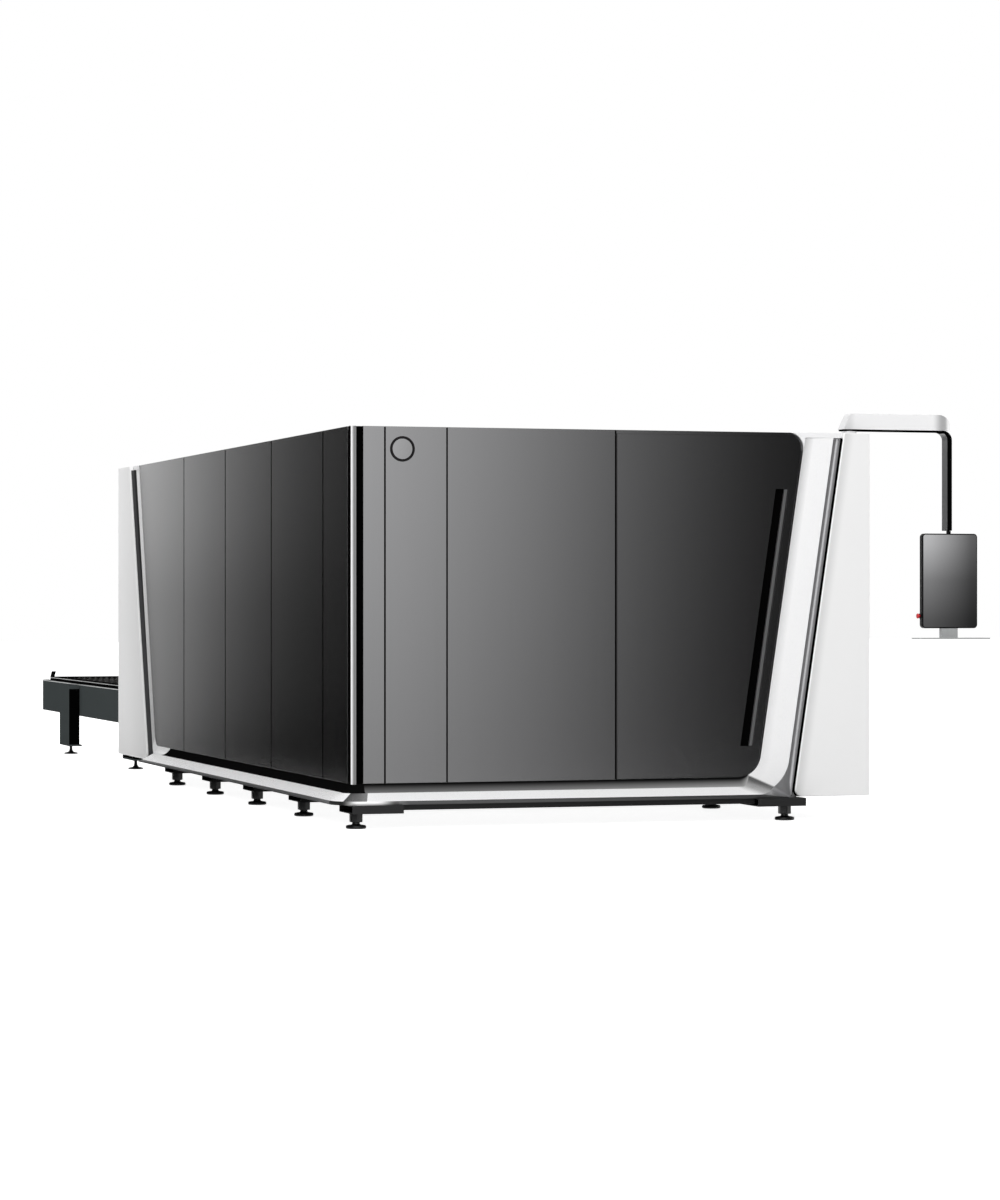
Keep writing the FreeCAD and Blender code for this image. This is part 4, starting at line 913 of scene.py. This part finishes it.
def badge():
    """A plain gloss ring round a bare brushed disc."""
    low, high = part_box("badge_ring")
    middle = (low + high) / 2
    place = Vector((middle.x, high.y, middle.z))
    radius = (high.x - low.x) / 2
    depth = high.y - low.y
    hub = radius - 0.013
    upright = (math.radians(90), 0, 0)
    ring = turned("badge_rim", [(hub, 0), (hub, depth * 0.7), (hub + 0.002, depth),
                                (radius - 0.002, depth), (radius, depth * 0.7), (radius, 0)],
                  64, ring=True)
    disc = turned("badge_face", [(0, 0), (hub - 0.0005, 0), (hub - 0.0005, depth * 0.5),
                                 (hub - 0.002, depth * 0.62), (0, depth * 0.62)], 64)
    dress(stand_up(ring, upright, place), gloss_black, stands_for=["badge_ring"])
    dress(stand_up(disc, upright, place), badge_satin, stands_for=["badge_disc"])


badge()


# ---------------------------------------- feet

def spots(node, count, radius):
    """The places of a node's feet along the machine, from its box: two rows of count."""
    low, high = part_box(node)
    first, last = low.y + radius, high.y - radius
    return [Vector((x, first + (last - first) * number / (count - 1), 0))
            for x in (low.x + radius, high.x - radius) for number in range(count)]


def levelling_feet():
    """Disc with its neck, and the lock nut over it."""
    radius = 0.056
    body = [(0, 0), (0.050, 0), (radius, 0.004), (radius, 0.013), (0.052, 0.019), (0.034, 0.022),
            (0.024, 0.024), (0.021, 0.028), (0.021, 0.039), (0, 0.040)]
    foot = turned("foot", body, 32)
    bpy.ops.mesh.primitive_cylinder_add(vertices=6, radius=0.038, depth=0.048,
                                        location=(0, 0, 0.060))
    nut = round_edges(settle(bpy.context.object), 0.004, segments=3)
    feet = copies(joined("machine_feet", [foot, nut]), spots("levelling_feet", 5, radius))
    dress(feet, foot_steel, stands_for=["levelling_feet"])


def table_feet():
    """Cone and thin threaded stem under each leg of the table."""
    radius = 0.055
    profile = [(0, 0), (0.053, 0), (radius, 0.002), (radius, 0.007), (0.051, 0.010), (0.024, 0.016),
               (0.016, 0.023), (0.0125, 0.034), (0.012, 0.040)]
    for turn in range(6):
        start = 0.040 + turn * 0.0033
        profile += [(0.0105, start + 0.0012), (0.012, start + 0.0024)]
    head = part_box("table_feet")[1].z
    profile += [(0.012, head), (0, head)]
    feet = copies(turned("table_foot_set", profile, 32), spots("table_feet", 2, radius))
    dress(feet, foot_steel, stands_for=["table_feet"])


levelling_feet()
table_feet()


# ---------------------------------------- operator's arm and monitor

def arm():
    """Bent black tube with its grey inner face, and the white cover over the flat run, with painted shade
    near both ends and a painted highlight at its right end.
    """
    low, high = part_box("arm_cover")
    tube_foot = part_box("arm_beam")[0].z
    middle = (low.y + high.y) / 2
    half = arm_drop_depth / 2
    under = low.z - 0.009
    start = low.x + 0.004
    face = high.x - arm_drop_inset
    inner_x = face - arm_drop_width

    def laid_out(outline, y):
        return [Vector((x, y, z)) for x, z in outline]

    run = bent_line((start, under), (inner_x, under), (inner_x, tube_foot), arm_bend)
    outer = bent_line((face, tube_foot), (face, low.z), (low.x, low.z), 0.055)
    outline = [(start, low.z), (start, under), *arc_of(run, 10), (inner_x, tube_foot),
               (face, tube_foot), *arc_of(outer, 10)]
    tube = plate("arm_tube", laid_out(outline, middle - half), Vector((0, 2 * half, 0)))
    dress(round_edges(tube, 0.0015), deep_black, "arm", ["arm_beam"])

    hub = turned("arm_hub", [(0, 0), (0.0315, 0), (0.0315, 0.0017), (0, 0.0017)], 48)
    hub = stand_up(hub, (0, 0, 0), (low.x + 0.049, middle, under - 0.0017))
    dress(hub, ground_steel, "arm")

    def side_point(along, across):
        spot = run(1.35 + along * 1.65)
        return Vector((spot.x - 0.0006, middle + (across * 2 - 1) * (half - 0.003), spot.y))

    side = surface("arm_side", 30, 4, side_point, 0.0012, offset=0)
    dress(side, tube_grey, "arm")

    end = face - 0.012
    near = (low.x + 0.042, high.z)
    rounded = bent_line((end, low.z), (end - 0.004, high.z), near, 0.072)
    taper = bent_line((high.x - 0.1, high.z), near, (low.x, low.z + 0.002), 0.020)
    outline = [(end, low.z), *arc_of(rounded, 10), *arc_of(taper, 4), (low.x, low.z + 0.002),
               (low.x, low.z)]
    lid = plate("arm_lid", laid_out(outline, low.y), Vector((0, high.y - low.y, 0)))
    white = finish("arm_white", (0.88, 0.88, 0.885), 0.04, Tone=0.01, Roughness=0.32)
    # Painted shade towards the cover's right end, a painted highlight on the end itself, and painted
    # shade at the left end.
    across_edge(white, (1, 0, 0), end - 0.115, end - 0.050, (0.42, 0.42, 0.425))
    across_edge(white, (1, 0, 0), end - 0.036, end - 0.010, (0.95, 0.95, 0.95))
    across_edge(white, (1, 0, 0), low.x + 0.080, low.x + 0.030, (0.74, 0.74, 0.745))
    dress(round_edges(lid, 0.009, segments=4, angle=60), white, "arm", ["arm_cover"])


def front_glass():
    """The monitor's glass, with rounded corners."""
    low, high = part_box("screen")
    radius = 0.014
    left_x, right_x = low.x + radius, high.x - radius
    foot, head = low.z + radius, high.z - radius
    centres = (right_x, head), (left_x, head), (left_x, foot), (right_x, foot)
    corners = []
    for number, (x, z) in enumerate(centres):
        for step in range(7):
            angle = math.radians(90 * number + 15 * step)
            corners.append(Vector((x + radius * math.cos(angle), low.y, z + radius * math.sin(angle))))
    glass = plate("front_glass", corners, Vector((0, high.y - low.y, 0)))
    dress(round_edges(glass, 0.0008), screen_glass, "monitor", ["screen"])


def rear_cover():
    """The monitor's rear cover with its vents."""
    low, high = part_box("monitor_housing")
    middle = (low.x + high.x) / 2
    cover_low = Vector((middle - 0.12, high.y, 1.16))
    cover_high = Vector((middle + 0.12, high.y + 0.014, 1.52))
    back = round_edges(block("rear_cover", cover_low, cover_high), 0.006, segments=3)
    dress(back, black_coat, "monitor")
    heights = [cover_low.z + 0.05 + number * 0.012 for number in range(9)]
    bars("rear_vents", rubber,
         [((middle - 0.08, cover_high.y - 0.001, z), (middle + 0.08, cover_high.y + 0.001, z + 0.005))
          for z in heights], "monitor")


def stop_button():
    """A mushroom head on its stem."""
    low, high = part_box("estop_button")
    radius = (high.z - low.z) / 2
    length = high.x - low.x
    centre = Vector((low.x, (low.y + high.y) / 2, (low.z + high.z) / 2))
    button = turned("stop_mushroom", [(0, 0), (radius * 0.6, 0.0004), (radius * 0.88, 0.0022),
                                      (radius, 0.0055), (radius, 0.009), (radius * 0.85, 0.011),
                                      (0.008, 0.0112), (0.0078, length - 0.001),
                                      (0.007, length), (0, length)], 40)
    dress(stand_up(button, (0, math.radians(90), 0), centre), stop_red, "stop_button",
          ["estop_button"])


arm()
front_glass()
rear_cover()
stop_button()


# ---------------------------------------- exchange table

def strip_pair(name, node, inset, heights, body):
    """Strips of light steel colour along both long sides of a node."""
    low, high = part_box(node)
    foot, head = heights
    half, end = 0.0015, 0.004
    bars(name, light_steel,
         [((x - half, low.y + end, foot), (x + half, high.y - end, head))
          for x in (low.x + inset, high.x - inset)], body)


def leg_faces():
    """Painted shade: black plates on the fronts of the table's legs, and on the outer side of the near
    one.
    """
    low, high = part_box("table_frame")
    foot = low.z + 0.013
    half = 0.0008
    faces = [((start + 0.001, corner.y + y - half, foot), (end - 0.001, corner.y + y + half, 0.530))
             for start, end in ((low.x, low.x + beam_inset), (high.x - beam_inset, high.x))
             for y in leg_fronts]
    near = corner.y + leg_fronts[0]
    faces.append(((low.x - 0.0006, near + 0.001, foot), (low.x + half, near + leg_length - 0.001, 0.150)))
    bars("leg_faces", deep_black, faces)


strip_pair("table_strips", "table_frame", beam_inset, table_strip, "machine")
leg_faces()
strip_pair("pallet_strips", "upper_pallet", 0.0, pallet_strip, "upper_pallet")


# ---------------------------------------- camera, lights and floor

floor_glow = 0.92  # what the floor adds of its own white, for the camera and reflections


def camera():
    """A long lens at eye height, off the near corner."""
    place = corner + Vector((-4.838, -18.227, 0))
    place.z = 1.243
    turn = math.radians(-17.35)
    bpy.ops.object.camera_add(location=place, rotation=(math.radians(90), 0, turn))
    made = bpy.context.object
    made.data.sensor_fit = "VERTICAL"
    made.data.sensor_height = 36
    made.data.lens = 103.56
    made.data.shift_y = 0.0008
    made.data.clip_end = 200
    bpy.context.scene.camera = made


def seen_directly(tree):
    """1 for rays that show a surface itself: to the camera, off gloss and through glass."""
    path = tree.nodes.new("ShaderNodeLightPath")
    direct = math_node(tree, "MAXIMUM", path.outputs["Is Camera Ray"], path.outputs["Is Glossy Ray"])
    return math_node(tree, "MAXIMUM", direct, path.outputs["Is Transmission Ray"])


def world_light():
    """White for the camera and in reflections, softer as light."""
    world = bpy.data.worlds.new("studio")
    bpy.context.scene.world = world
    world.use_nodes = True
    tree = world.node_tree
    seen = fill(tree, tree.nodes["Background"], Color=(1, 1, 1, 1), Strength=1.0)
    light = put(tree, "ShaderNodeBackground", Color=(1, 1, 1, 1), Strength=0.5)
    mix = put(tree, "ShaderNodeMixShader", Fac=seen_directly(tree), Shader=light.outputs[0])
    feed(tree, mix.inputs[2], seen.outputs[0])
    fill(tree, tree.nodes["World Output"], Surface=mix.outputs[0])


def floor():
    """Pale floor: most of the white that the camera sees is its own, so its shadow stays faint."""
    bpy.ops.mesh.primitive_plane_add(size=160, location=(0, 0, 0))
    ground = bpy.context.object
    ground.name = "floor"
    material = finish("floor_white", (0.93, 0.93, 0.93), 0.0, Tone=0.0, Roughness=0.9)
    tree = material.node_tree
    glow = put(tree, "ShaderNodeEmission", Color=(1, 1, 1, 1), Strength=floor_glow)
    clear = put(tree, "ShaderNodeMixShader", Fac=seen_directly(tree))
    feed(tree, clear.inputs[2], glow.outputs[0])
    total = put(tree, "ShaderNodeAddShader", Shader=tree.nodes["Principled BSDF"].outputs[0])
    feed(tree, total.inputs[1], clear.outputs[0])
    fill(tree, tree.nodes["Material Output"], Surface=total.outputs[0])
    cover(ground, material)


def lamp(name, place, target, size, power):
    """A large soft lamp aimed at target."""
    data = bpy.data.lights.new(name, "AREA")
    data.shape = "RECTANGLE"
    data.size, data.size_y = size
    data.energy = power
    light = bpy.data.objects.new(name, data)
    bpy.context.collection.objects.link(light)
    light.location = place
    light.rotation_euler = (Vector(target) - Vector(place)).to_track_quat("-Z", "Y").to_euler()
    light.visible_glossy = False


def fall(tree, direction, ramp):
    """Brightness along a direction, from a list of (place, brightness)."""
    start, end = ramp[0][0], ramp[-1][0]
    bands = put(tree, "ShaderNodeValToRGB", Fac=range_along(tree, direction, start, end))
    while len(bands.color_ramp.elements) < len(ramp):
        bands.color_ramp.elements.new(0.5)
    for element, (where, level) in zip(bands.color_ramp.elements, ramp):
        element.position = (where - start) / (end - start)
        element.color = (level, level, level, 1)
    return bands.outputs["Color"]


def card(name, place, us, zs, outs, strength, *falls):
    """A glowing reflector that only reflections see; its light falls off along some directions."""
    bpy.ops.mesh.primitive_plane_add(size=2)
    made = bpy.context.object
    made.name = name
    spread = [(u, z, out) for z, out in zip(zs, outs) for u in us]
    for vertex, (u, z, out) in zip(made.data.vertices, spread):
        vertex.co = place(u, z, out)
    material = bpy.data.materials.new(name)
    material.use_nodes = True
    tree = material.node_tree
    tree.nodes.remove(tree.nodes["Principled BSDF"])
    light = fall(tree, *falls[0])
    for further in falls[1:]:
        both = put(tree, "ShaderNodeVectorMath", operation="MULTIPLY", Vector=light)
        feed(tree, both.inputs[1], fall(tree, *further))
        light = both.outputs[0]
    glow = put(tree, "ShaderNodeEmission", Color=light, Strength=strength)
    fill(tree, tree.nodes["Material Output"], Surface=glow.outputs[0])
    cover(made, material)
    made.visible_camera = False
    made.visible_diffuse = False
    made.visible_transmission = False
    made.visible_volume_scatter = False
    made.visible_shadow = False


def cards():
    """Reflectors in front of the front face, beside the left side and before the screen."""
    along_x, along_y, along_z = (1, 0, 0), (0, 1, 0), (0, 0, 1)
    across = [(0.0, 1.95), (0.96, 1.78), (1.32, 1.50), (1.6, 1.25), (2.0, 0.98), (2.4, 0.62),
              (2.75, 0.40), (3.17, 0.19), (3.6, 0.05), (4.2, 0.02), (8.0, 0.01)]
    across = (along_x, [(corner.x + u, level) for u, level in across])
    height = (along_z, [(0.0, 0.62), (0.2, 0.66), (0.6, 0.75), (1.25, 0.87), (2.03, 1.0), (2.4, 1.05)])
    card("front_card", front, (-4, 14), (0.03, 7), (3, 3), 1.0, across, height)
    card("front_floor_card", front, (-4, 14), (0.01, 0.01), (3, 0.2), 0.55, across)

    back = [(2.5, 0.0), (3.4, 0.022), (4.6, 0.076), (6.1, 0.185), (7.4, 0.40), (8.9, 0.83),
            (10.5, 1.15), (12.0, 1.3)]
    back = (along_y, [(corner.y + u, level) for u, level in back])
    height = (along_z, [(0.0, 0.62), (0.6, 0.655), (1.25, 0.71), (1.9, 1.0), (2.4, 1.1)])
    slant = [(2.3, 0.0), (2.95, 0.05), (3.6, 0.38), (4.2, 0.74), (4.95, 1.0)]
    slant = ((0, 0.5, 1), [(0.5 * corner.y + reach, level) for reach, level in slant])
    card("left_card", left, (-1, 24), (0.03, 7), (0.8, 0.8), 1.0, back, height, slant)
    card("left_floor_card", left, (-1, 24), (0.01, 0.01), (0.8, 0.12), 0.12, back)

    sides = [(3.88, 1.1), (3.98, 1.0), (4.25, 0.25), (4.36, 0.15)]
    sides = (along_x, [(corner.x + u, level) for u, level in sides])
    rise = (along_z, [(1.0, 0.2), (1.13, 0.3), (1.37, 0.66), (1.59, 1.47), (1.7, 1.7)])
    card("screen_card", front, (3.88, 4.36), (1.0, 1.7), (1, 1), 1.0, sides, rise)


camera()
world_light()
floor()
lamp("key", (-3, -14, 11), (0, -4, 0.8), (9, 7), 1030)
lamp("sky", (0, 0, 9), (0, 0, 0), (9, 14), 250)
lamp("side", (-9, 0, 10), (-2, 0, 0.5), (10, 6), 200)
cards()

bpy.context.scene.view_settings.view_transform = "Standard"
